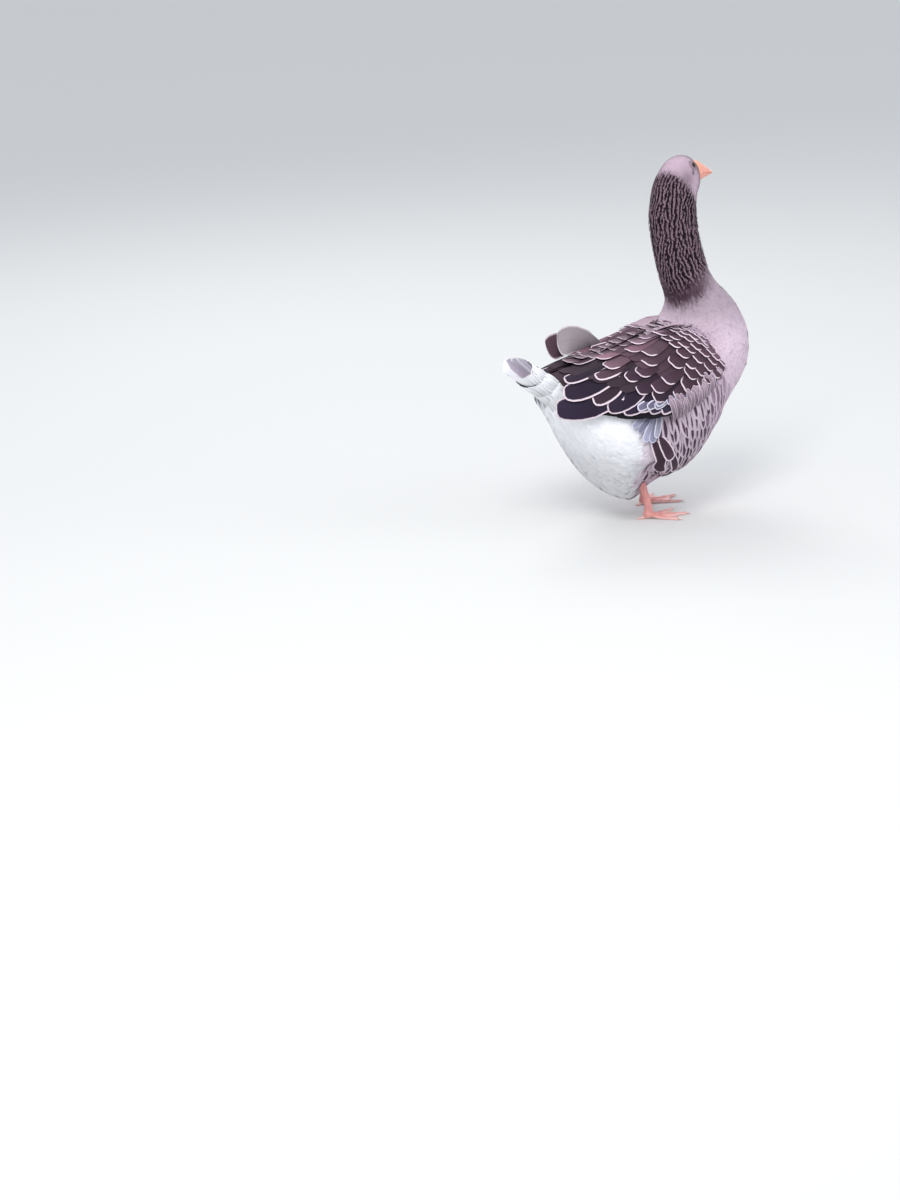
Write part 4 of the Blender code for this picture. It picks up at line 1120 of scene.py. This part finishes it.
def wingFeathers(side, seed):
    random = np.random.default_rng(seed)
    plan = []
    for row, (count, first, last, length, swing, halfWidth, tint, rim, rimWidth, rimmed) in wingRows.items():
        sunk = sunkenRows.get(row, 0.0)
        for i in range(count):
            u = i / (count - 1)
            s = first[0] + (last[0] - first[0]) * u + random.normal(0, rowScatter["s"])
            r = first[1] + (last[1] - first[1]) * u + random.normal(0, rowScatter["r"])
            plan.append((
                s, r, length, swing + random.normal(0, rowScatter["swing"]), halfWidth, tint, rimmed, rim,
                rimWidth, sunk
            ))
    for name, large in largeFeathers.items():
        held = side > 0 and name in ("lowestTertial", "lowTertial")
        place = heldIn if held else large[:2]
        plan.append((*place, *large[2:], largeRim["colour"], largeRim["width"], 0.0))
    made = []
    for s, r, length, swing, halfWidth, tint, rimmed, rim, rimWidth, sunk in plan:
        lift = tipLift["least"] + tipLift["forward"] * (1 - s) + tipLift["upward"] * (1 - r) - sunk
        length = length * random.uniform(*rowScatter["length"])
        places = s - length * (1 - vaneAlong)
        rows = np.maximum(r - swing * length * (1 - vaneAlong) ** 1.15, min(r, -0.10))
        rise = bigVane["rootDepth"] + (lift - bigVane["rootDepth"]) * vaneAlong**0.85
        ups = wingNormal(np.clip(places, 0, 1), np.clip(rows, 0, 1.1))
        path = wingPoint(places, rows) + ups * rise[:, None]
        halfWidth = halfWidth * random.uniform(*rowScatter["halfWidth"])
        top, under, reach, far, edge = bigFeather(
            path, ups, halfWidth, -bigVane["tilt"] + random.normal(0, rowScatter["tilt"]), bigVane["camber"]
        )
        edge = edge + rimEnd * np.maximum(far.max() - far - rimmed, 0)
        shape = (mirrored(top, side), mirrored(under, side), reach, far, edge)
        made.append((
            shape, linear(tint) * random.uniform(*rowScatter["tint"]),
            linear(rim) * random.uniform(*rowScatter["rim"]),
            rimWidth * random.uniform(*rowScatter["rimWidth"]),
        ))
    return made


def raisedSet():
    made = []
    for line, halfWidth, slopes, tint, rim in raisedFeathers.values():
        path = through(line, vaneAlong * 4)
        slope = np.radians(np.interp(vaneAlong * 4, range(5), slopes))
        ups = np.stack([0.45 * np.sin(slope), 0.85 * np.sin(slope), np.cos(slope)], axis=-1)
        top, under, reach, far, edge = bigFeather(path, unit(ups), halfWidth, 0.0, 0.14)
        edge = edge + rimEnd * np.maximum(far.max() - far - raisedRim["length"], 0)
        shape = (top + shift, under + shift, reach, far, edge)
        made.append((shape, linear(tint), linear(rim), raisedRim["width"]))
    return made


# Mantle and back feathers between the two wings: aside, first and last place along the wing's top edge, count
backColumns = {
    "rightOuter": (-0.030, 0.06, 0.26, 4), "leftOuter": (0.030, 0.06, 0.26, 4),
    "rightInner": (-0.014, 0.10, 0.60, 9),
    "leftInner": (0.014, 0.13, 0.63, 9), "middle": (0.0, 0.08, 0.74, 12),
}
backLook = {
    "long": 0.15, "halfWidth": 0.0150, "front": "D0BCC9", "rear": "7A6671", "rim": "CBB8C3",
    "rimWidth": 0.0036, "rimmed": 0.010, "lift": 0.0040, "middleLift": 0.004, "fall": 0.08,
}


def backSet():
    random = np.random.default_rng(71)
    made = []
    for aside, first, last, count in backColumns.values():
        for s in np.linspace(last, first, count) + random.normal(0, 0.008, count):
            tip = wingPoint(s, 0.0) * (1, 0, 1) + np.array([
                0.0, aside + random.normal(0, 0.002),
                backLook["lift"] + backLook["middleLift"] * (aside == 0) - backLook["fall"] * abs(aside),
            ])
            root = (
                wingPoint(max(s - backLook["long"], -0.05), 0.0) * (1, 0, 1)
                + np.array([0.0, aside * 0.85, -0.004])
            )
            path = mirrored(root + (tip - root) * vaneAlong[:, None], 1)
            ups = np.tile(unit(np.array([-0.10, aside * 9, 1.0])), (len(vaneAlong), 1))
            top, under, reach, far, edge = bigFeather(
                path, ups, backLook["halfWidth"] * random.uniform(0.92, 1.06), random.normal(0, 2), 0.16
            )
            edge = edge + rimEnd * np.maximum(far.max() - far - backLook["rimmed"], 0)
            rear = float(smoothStep(s, 0.05, 0.40))
            tint = mixed(backLook["front"], backLook["rear"], rear)
            made.append((
                (top, under, reach, far, edge), tint * random.uniform(0.9, 1.1), linear(backLook["rim"]),
                backLook["rimWidth"],
            ))
    return made


bed = {
    "grid": (34, 22), "s": (0.0, 0.88), "r": (0.02, 0.98), "below": 0.0040, "edgeBelow": 0.006, "thin": 0.004,
    "deeper": 0.026, "deepTo": (0.50, 0.80), "dark": "3F313A", "front": "9A8294", "frontTo": (0.04, 0.16),
}


def wingBed(name, side):
    # The closed body of the folded wing, which the feathers spring from
    rows, columns = bed["grid"]
    s, r = np.meshgrid(np.linspace(*bed["s"], rows), np.linspace(*bed["r"], columns), indexing="ij")
    ups = wingNormal(s, r)
    rimmed = np.minimum(smoothStep(s, -0.04, 0.10), smoothStep(1 - r, -0.10, 0.12))
    top = wingPoint(s, r) - ups * (bed["below"] + bed["edgeBelow"] * (1 - rimmed))[..., None]
    deep = bed["thin"] + bed["deeper"] * (1 - smoothStep(s, *bed["deepTo"]))
    under = top - ups * deep[..., None]
    points = mirrored(np.concatenate([top.reshape(-1, 3), under.reshape(-1, 3)]), side)
    each = rows * columns
    grid = np.array([
        (i * columns + j, i * columns + j + 1, (i + 1) * columns + j + 1, (i + 1) * columns + j)
        for i in range(rows - 1)
        for j in range(columns - 1)
    ])
    rim = gridRim(rows, columns)
    walls = np.stack([rim, np.roll(rim, -1), np.roll(rim, -1) + each, rim + each], axis=1)
    faces = np.concatenate([grid[:, ::-1], grid + each, walls[:, ::-1]])
    if side < 0:
        faces = faces[:, ::-1]
    made = plainObject(name, points, faces, bedMaterial)
    pale = np.tile((1 - smoothStep(s, *bed["frontTo"])).reshape(-1, 1), (2, 1))
    paintTint(made, mixed(bed["dark"], bed["front"], pale))
    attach(made, "root")
    return made


bedMaterial = tintedHide("wing down", 0.95, 600.0, 0.0008)
wingLook = {
    "roughness": 0.72, "sheen": 0.0, "barb": 0.0016, "barbShade": 0.14, "shaft": 0.75, "waver": 0.0014,
    "bump": 0.5,
}
wingMaterial = feather("flight feathers and coverts", wingLook)
bigFeatherMesh(
    "wingLeftFeathers", wingFeathers(1, 31) + raisedSet(), wingMaterial, "wing_left"
)
bigFeatherMesh("wingRightFeathers", wingFeathers(-1, 32), wingMaterial, "wing_right")
bigFeatherMesh("backFeathers", backSet(), wingMaterial, None)
wingBed("wingLeftBed", 1)
wingBed("wingRightBed", -1)

# Large edged feathers of the thigh, and loose bluish ones over the white: root, tip, half width, base and rim
# colours, rim width
laidFeathers = {
    "thighHind": ((-0.072, -0.128, 0.192), (-0.0285, -0.1025, 0.1136), 0.0135, "4A3643", "DDCBD6", 0.0048),
    "thighMid": ((-0.054, -0.130, 0.190), (-0.0252, -0.1251, 0.1399), 0.0130, "4E3948", "DDCBD6", 0.0046),
    "thighFront": ((-0.026, -0.127, 0.155), (-0.0035, -0.1049, 0.1119), 0.0105, "54404F", "DFD0DB", 0.0040),
    "looseHigh": ((-0.050, -0.124, 0.244), (-0.1013, -0.1222, 0.2040), 0.0080, "84829A", "B0AFC6", 0.0030),
    "looseMid": ((-0.050, -0.124, 0.240), (-0.0891, -0.1245, 0.1844), 0.0100, "A9A8C0", "CDCDE0", 0.0040),
    "looseLow": ((-0.050, -0.124, 0.236), (-0.0741, -0.1269, 0.1805), 0.0100, "8F8DA6", "BEBED3", 0.0040),
    "looseHind": ((-0.060, -0.124, 0.246), (-0.1120, -0.1190, 0.2150), 0.0070, "9B9AB2", "C9C9DC", 0.0030),
    "looseFore": ((-0.045, -0.126, 0.240), (-0.0640, -0.1290, 0.1880), 0.0075, "A6A3B8", "D6D3E0", 0.0034),
}

laidRise = {"root": 0.0030, "tip": 0.0075, "bend": 0.85}


def laidSet():
    made = []
    for root, tip, halfWidth, tint, rim, rimWidth in laidFeathers.values():
        for sign in (-1, 1):
            start, end = (np.array(spot) * (1, -sign, 1) + shift for spot in (root, tip))
            places, ups = onSkin(start + (end - start) * vaneAlong[:, None])[:2]
            path = places + ups * (
                laidRise["root"] + laidRise["tip"] * vaneAlong ** laidRise["bend"]
            )[:, None]
            made.append((
                bigFeather(path, ups, halfWidth, 4.0 * sign, 0.14), linear(tint), linear(rim), rimWidth
            ))
    return made


# Pale flank feathers that lap up over the wing's lower edge
pocket = {
    "count": 30, "from": 0.16, "to": 0.47, "back": 0.030, "below": 0.050, "over": 0.985, "lift": 0.0020,
    "halfWidth": 0.0052, "tint": "A08B99", "rim": "C2B0BE", "rimWidth": 0.0026,
}


def pocketSet():
    random = np.random.default_rng(61)
    made = []
    for side in (-1, 1):
        spots = np.linspace(pocket["from"], pocket["to"], pocket["count"])
        for s in spots + random.normal(0, 0.006, pocket["count"]):
            over = pocket["over"] + random.normal(0, 0.045)
            tip = (
                wingPoint(s + pocket["back"] * random.uniform(0.2, 1.8), over)
                + wingNormal(s, over) * pocket["lift"]
            )
            root = wingPoint(s, 1.0) + np.array([0.004, -0.014, -pocket["below"]])
            bulge = 4 * (vaneAlong * (1 - vaneAlong))[:, None] * np.array([0.0, 0.007, -0.002])
            path = mirrored(root + (tip - root) * vaneAlong[:, None] + bulge, side)
            outward = np.tile(unit(np.array([0.15, 1.0 * side, -0.25])), (len(vaneAlong), 1))
            tint = linear(pocket["tint"]) * random.uniform(0.85, 1.15)
            made.append((
                bigFeather(path, outward, pocket["halfWidth"] * random.uniform(0.9, 1.1), 5.0 * side, 0.05),
                tint, linear(pocket["rim"]), pocket["rimWidth"],
            ))
    return made


bigFeatherMesh("thighFeathers", laidSet() + pocketSet(), flankMaterial, None)

# Feathers in rings round the tail: count, angles from its top, start along it, length, half width and height
# of the ring at roots and at tips, half width of a feather, base and rim colours, rim width
tailRings = {
    "tailFeathers": (
        17, (-86, 86), 0.000, 0.090, (0.030, 0.012), (0.050, 0.017), 0.0115, "B7ADBA", "F7F6FA", 0.0045
    ),
    "upperTailCoverts": (
        11, (-76, 76), -0.012, 0.064, (0.033, 0.016), (0.047, 0.0205), 0.0125, "D3D1DC", "EFEEF4", 0.0030
    ),
    "rumpFeathers": (
        9, (-70, 70), -0.032, 0.052, (0.037, 0.022), (0.041, 0.0240), 0.0130, "7A6270", "D9C8D0", 0.0018
    ),
    "underTailInner": (
        15, (88, 272), -0.002, 0.090, (0.037, 0.022), (0.049, 0.0250), 0.0125, "F6F7FB", "F9F9FB", 0.0020
    ),
    "underTailOuter": (
        13, (86, 274), -0.022, 0.078, (0.040, 0.028), (0.047, 0.0280), 0.0140, "F6F7FB", "F9F9FB", 0.0020
    ),
    "ventFeathers": (
        13, (84, 276), -0.046, 0.066, (0.047, 0.034), (0.045, 0.0260), 0.0150, "F6F7FB", "F9F9FB", 0.0020
    ),
}


def tailFeatherSet():
    random = np.random.default_rng(41)
    upright = np.array([tailAhead[2], 0.0, -tailAhead[0]])
    sideways = np.array([0.0, 1.0, 0.0])
    made = []
    for count, angles, begin, length, rootRing, tipRing, halfWidth, tint, rim, rimWidth in tailRings.values():
        for i in range(count):
            turn = math.radians(angles[0] + (angles[1] - angles[0]) * i / (count - 1) + random.normal(0, 1.0))
            long = length * random.uniform(0.96, 1.03)
            ring = (
                np.array(rootRing) + (np.array(tipRing) - np.array(rootRing)) * vaneAlong[:, None]
                + 0.0005 * (i % 2)
            )
            middle = np.array(tailAxis["from"]) + shift + tailAhead * (begin + long * vaneAlong)[:, None]
            path = (
                middle + sideways * (ring[:, :1] * math.sin(turn))
                + upright * (ring[:, 1:] * math.cos(turn))
            )
            up = unit(sideways * math.sin(turn) / tipRing[0] + upright * math.cos(turn) / tipRing[1])
            places, normals = onSkin(path)[:2]
            standing = ((path - places) * normals).sum(1)
            least = 0.0006 + 0.0030 * vaneAlong
            if math.cos(turn) < 0.1:
                path = path + normals * np.where(
                    standing > -0.03, np.maximum(least - standing, 0), 0
                )[:, None]
            held = ((1 - vaneAlong) ** 3)[:, None]
            path = path * (1 - held) + (places - normals * 0.001) * held
            shape = bigFeather(
                path, np.tile(up, (len(vaneAlong), 1)), halfWidth * random.uniform(0.95, 1.05),
                3.0 * np.sign(math.sin(turn)), 0.12,
            )
            made.append((shape, linear(tint) * random.uniform(0.95, 1.04), linear(rim), rimWidth))
    return made


tailMaterial = feather(
    "white-edged tail feathers", {**wingLook, "barbShade": 0.04, "bump": 0.15, "shaft": 0.94}
)
bigFeatherMesh("tailFeathers", tailFeatherSet(), tailMaterial, "tail")

# Bill: satin orange horn with a pale nail
billLook = {
    "horn": "EBA08C", "base": "D9A878", "nail": "F4DACD", "roughness": 0.42, "voxel": 0.0009,
    "longer": 0.07, "deeper": 0.30, "tip": (0.213, 0, 0.658), "root": (0.150, 0, 0.668),
    "nailEnd": (0.0085, 0.0125),
    "nailRise": 0.0014, "meeting": 0.0009, "yellow": 0.45, "nostril": (0.172, 0.0120, 0.6755),
    "nostrilReach": 0.0028,
    "nostrilShadow": 0.75,
}


def horn(name, look):
    # Keratin over bone: satin, slightly translucent, mottled where blood shows through
    made, tree, shader = newMaterial(
        name,
        **{
            "Roughness": look["roughness"], "IOR": 1.54, "Subsurface Weight": 0.08,
            "Subsurface Scale": 0.002,
        },
    )
    tint = addNode(tree, "ShaderNodeAttribute", attribute_name="tint")
    place = addNode(tree, "ShaderNodeTexCoord")
    mottle = addNode(
        tree, "ShaderNodeTexNoise", {"Vector": place.outputs["Object"], "Scale": 160.0, "Detail": 5.0}
    )
    shade = addNode(
        tree, "ShaderNodeMapRange",
        {"Value": mottle.outputs["Fac"], "From Min": 0.3, "From Max": 0.7, "To Min": 0.82, "To Max": 1.08},
    )
    colour = addNode(
        tree, "ShaderNodeVectorMath", {0: tint.outputs["Color"], "Scale": shade.outputs[0]},
        operation="SCALE",
    )
    fine = addNode(
        tree, "ShaderNodeTexNoise", {"Vector": place.outputs["Object"], "Scale": 700.0, "Detail": 3.0}
    )
    bump = addNode(
        tree, "ShaderNodeBump", {"Height": fine.outputs["Fac"], "Strength": 0.25, "Distance": 0.0003}
    )
    tree.links.new(colour.outputs[0], shader.inputs["Base Color"])
    tree.links.new(bump.outputs[0], shader.inputs["Normal"])
    return made


hornMaterial = horn("bill horn", billLook)
billTip, billRoot = at(*billLook["tip"]), at(*billLook["root"])
billAhead = np.array(billTip - billRoot)
lowerPoints, lowerNormals, _ = readMesh(nodes["bill_lower"])
lowerAlong = ((lowerPoints - np.array(billRoot)) @ billAhead) / (billAhead @ billAhead)
facingUp = lowerNormals[:, 2] > 0.5
mouthLine = np.polyfit(lowerAlong[facingUp], lowerPoints[facingUp, 2], 1)
for part in ("upper", "lower"):
    half = copyOf("bill" + part.capitalize(), "bill_" + part)
    smoothed(half, billLook["voxel"], 6)
    points, normals, faces = readMesh(half)
    toTip = np.linalg.norm(points - np.array(billTip), axis=1)
    nail = 1 - smoothStep(toTip, *billLook["nailEnd"])
    if part == "upper":
        points = points + normals * (billLook["nailRise"] * nail)[:, None]
    # The bill is deepened at its base, away from the line of the mouth, and its tip reaches a little further
    along = ((points - np.array(billRoot)) @ billAhead) / (billAhead @ billAhead)
    atBase = smoothStep(along, -0.12, 0.16) * (1 - smoothStep(along, 0.16, 0.90))
    points[:, 2] += (points[:, 2] - np.polyval(mouthLine, along)) * billLook["deeper"] * atBase
    meeting = billLook["meeting"] * smoothStep(normals[:, 2] * (1 if part == "lower" else -1), 0.2, 0.8)
    points[:, 2] += meeting if part == "lower" else -0.3 * meeting
    points = points + billAhead * (billLook["longer"] * np.maximum(along, 0))[:, None]
    writePoints(half, points)
    base = mixed(billLook["horn"], billLook["nail"], nail[:, None])
    yellow = billLook["yellow"] * (1 - smoothStep(along, -0.02, 0.16))[:, None]
    base = base * (1 - yellow) + linear(billLook["base"]) * yellow
    # Painted shade where each nostril opens: a dark spot stands for the shadow inside the opening
    for sign in (-1, 1):
        x, y, z = billLook["nostril"]
        gap = np.linalg.norm(points - np.array(at(x, sign * y, z)), axis=1)
        base = base * (
            1 - billLook["nostrilShadow"] * np.exp(-((gap / billLook["nostrilReach"]) ** 4))
        )[:, None]
    paintTint(half, base)
    dress(half, hornMaterial, "bill", "bill_" + part)
    print("bill", part, len(faces), "triangles")

# Eyes: wet dark ball with a brown iris and a thin bare ring of lids
eyeLook = {
    "iris": "2C180F", "pupil": "070404", "pupilFrom": (0.86, 0.90), "ring": "7A5A5C", "lidRadius": 0.0013,
    "lidReach": 0.97,
    "lidAhead": 0.26, "lidScale": (1.0, 0.90, 0.9), "spot": (0.111, 0.0255, 0.686),
    "looksTo": (0.113, 0.0355, 0.6875),
}
eyeMaterial, eyeTree, eyeShader = newMaterial(
    "wet eye", **{"Roughness": 0.06, "IOR": 1.38, "Coat Weight": 0.25, "Coat Roughness": 0.03}
)
eyeTint = addNode(eyeTree, "ShaderNodeAttribute", attribute_name="tint")
eyeTree.links.new(eyeTint.outputs["Color"], eyeShader.inputs["Base Color"])
lidMaterial = horn("bare eyelid skin", {"roughness": 0.55})
for side, sign in (("left", 1), ("right", -1)):
    low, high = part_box("eye_" + side)
    centre, radius = (low + high) / 2, (high - low).z / 2
    start, end = (at(x, sign * y, z) for x, y, z in (eyeLook["spot"], eyeLook["looksTo"]))
    outward = (end - start).normalized()
    pickOnly(skin)
    bpy.ops.mesh.primitive_uv_sphere_add(segments=48, ring_count=32, radius=radius, location=centre)
    ball = bpy.context.object
    ball.name = ball.data.name = "eyeball" + side.capitalize()
    bpy.ops.object.transform_apply(location=True, rotation=True, scale=True)
    points, normals, _ = readMesh(ball)
    facing = (normals * np.array(outward)).sum(1)
    pupil = smoothStep(facing, *eyeLook["pupilFrom"])[:, None]
    paintTint(ball, mixed(eyeLook["iris"], eyeLook["pupil"], pupil))
    dress(ball, eyeMaterial, "eye", "eye_" + side)
    bpy.ops.object.select_all(action="DESELECT")
    bpy.ops.mesh.primitive_torus_add(
        major_segments=48, minor_segments=14, major_radius=radius * eyeLook["lidReach"],
        minor_radius=eyeLook["lidRadius"],
        location=centre + outward * radius * eyeLook["lidAhead"],
        rotation=outward.to_track_quat("Z", "Y").to_euler(),
    )
    lids = bpy.context.object
    lids.name = lids.data.name = "eyelids" + side.capitalize()
    lids.scale = eyeLook["lidScale"]
    bpy.ops.object.transform_apply(location=True, rotation=True, scale=True)
    paintTint(lids, np.tile(linear(eyeLook["ring"]), (len(lids.data.vertices), 1)))
    dress(lids, lidMaterial, "head_plumage")
print("eyes done")

# Feet and shanks: pinkish orange scaled skin, one surface from shank to toes, with horn claws
footLook = {
    "skin": "E69E98", "web": "F4C4BE", "claw": "D8C2BA", "voxel": 0.0010, "scale": 0.0016,
    "webTop": (0.0035, 0.0060),
}


def scaledSkin(name, look):
    # Scutes and small round scales, 1.6 mm across, satin and dry
    made, tree, shader = newMaterial(
        name, **{"Roughness": 0.52, "IOR": 1.45, "Subsurface Weight": 0.06, "Subsurface Scale": 0.002}
    )
    tint = addNode(tree, "ShaderNodeAttribute", attribute_name="tint")
    place = addNode(tree, "ShaderNodeTexCoord")
    cells = addNode(
        tree, "ShaderNodeTexVoronoi", {"Vector": place.outputs["Object"], "Scale": 1 / look["scale"]},
        feature="DISTANCE_TO_EDGE",
    )
    groove = addNode(
        tree, "ShaderNodeMapRange", {"Value": cells.outputs["Distance"], "From Min": 0.0, "From Max": 0.16}
    )
    shade = addNode(tree, "ShaderNodeMapRange", {"Value": groove.outputs[0], "To Min": 0.72, "To Max": 1.04})
    mottle = addNode(
        tree, "ShaderNodeTexNoise", {"Vector": place.outputs["Object"], "Scale": 120.0, "Detail": 4.0}
    )
    patchy = addNode(
        tree, "ShaderNodeMapRange",
        {"Value": mottle.outputs["Fac"], "From Min": 0.3, "From Max": 0.7, "To Min": 0.85, "To Max": 1.08},
    )
    both = addNode(tree, "ShaderNodeMath", {0: shade.outputs[0], 1: patchy.outputs[0]}, operation="MULTIPLY")
    colour = addNode(
        tree, "ShaderNodeVectorMath", {0: tint.outputs["Color"], "Scale": both.outputs[0]},
        operation="SCALE",
    )
    bump = addNode(tree, "ShaderNodeBump", {"Height": groove.outputs[0], "Strength": 0.6, "Distance": 0.0004})
    tree.links.new(colour.outputs[0], shader.inputs["Base Color"])
    tree.links.new(bump.outputs[0], shader.inputs["Normal"])
    return made


footMaterial = scaledSkin("orange scaled foot skin", footLook)
clawMaterial = horn("claw horn", {"roughness": 0.42})
for side in ("left", "right"):
    foot = copyOf("foot" + side.capitalize(), "leg_" + side, "foot_" + side)
    smoothed(foot, footLook["voxel"], 4)
    points, _, _ = readMesh(foot)
    points[:, 2] = np.maximum(points[:, 2], 0.0)
    writePoints(foot, points)
    webbed = (1 - smoothStep(points[:, 2], *footLook["webTop"]))[:, None]
    paintTint(foot, mixed(footLook["skin"], footLook["web"], webbed))
    dress(foot, footMaterial, "leg_skin", "leg_" + side, "foot_" + side)
    names = [f"claw_{side}_{toe}" for toe in ("inner", "middle", "outer")]
    claws = copyOf("claws" + side.capitalize(), *names)
    applied(claws, "SUBSURF", levels=2, render_levels=2)
    paintTint(claws, np.tile(linear(footLook["claw"]), (len(claws.data.vertices), 1)))
    dress(claws, clawMaterial, "claw", *names)
print("feet done")

# Floor, light and camera
bpy.ops.object.select_all(action="DESELECT")
bpy.ops.mesh.primitive_plane_add(size=120)
floor = bpy.context.object
floor.name = "studioFloor"
floorMaterial = newMaterial("matt pale floor", **{"Roughness": 0.9, "Base Color": (0.62, 0.62, 0.61, 1.0)})[0]
floor.data.materials.append(floorMaterial)

world = bpy.data.worlds.new("studio")
bpy.context.scene.world = world
world.use_nodes = True
world.node_tree.nodes["Background"].inputs[0].default_value = (0.86, 0.90, 0.96, 1.0)
world.node_tree.nodes["Background"].inputs[1].default_value = 1.0
# Lamps: place, power, size, colour
lamps = {
    "keyLight": ((-2.0, -1.9, 3.2), 93.0, 1.6, (1.0, 0.98, 0.96)),
    "fillLight": ((2.6, -2.4, 2.0), 24.0, 2.2, (0.95, 0.97, 1.0)),
    "rimLight": ((0.6, 2.6, 3.0), 42.0, 1.8, (1.0, 1.0, 1.0)),
}
lampsAim = Vector((0, 0, 0.3))
for name, (spot, power, size, colour) in lamps.items():
    bpy.ops.object.light_add(type="AREA", location=spot)
    lamp = bpy.context.object
    lamp.name = name
    lamp.data.energy, lamp.data.size, lamp.data.color = power, size, colour
    lamp.rotation_euler = (lampsAim - Vector(spot)).to_track_quat("-Z", "Y").to_euler()

# The camera stands off the target along the first two angles, and looks along the other three
view = {
    "target": (-0.057, 0.0, 0.35), "azimuth": -35.0, "elevation": 12.0, "distance": 5.256, "yaw": 31.0957,
    "pitch": -17.3813, "roll": -2.2, "lens": 79.5,
}
azimuth, elevation = math.radians(view["azimuth"]), math.radians(view["elevation"])
back = np.array([
    math.sin(azimuth) * math.cos(elevation), -math.cos(azimuth) * math.cos(elevation), math.sin(elevation)
])
eyePoint = np.array(view["target"]) + shift + view["distance"] * back
yaw, pitch, roll = (math.radians(view[key]) for key in ("yaw", "pitch", "roll"))
forward = Vector((math.sin(yaw) * math.cos(pitch), math.cos(yaw) * math.cos(pitch), math.sin(pitch)))
right = Vector((math.cos(yaw), -math.sin(yaw), 0.0))
upward = right.cross(forward)
right, upward = (
    right * math.cos(roll) + upward * math.sin(roll), upward * math.cos(roll) - right * math.sin(roll)
)
bpy.ops.object.camera_add(location=Vector(eyePoint))
camera = bpy.context.object
camera.matrix_world = (
    Matrix.Translation(Vector(eyePoint)) @ Matrix((right, upward, -forward)).transposed().to_4x4()
)
camera.data.lens = view["lens"]
camera.data.sensor_fit = "VERTICAL"
camera.data.sensor_height = 36.0
bpy.context.scene.camera = camera
bpy.context.scene.view_settings.view_transform = "Standard"
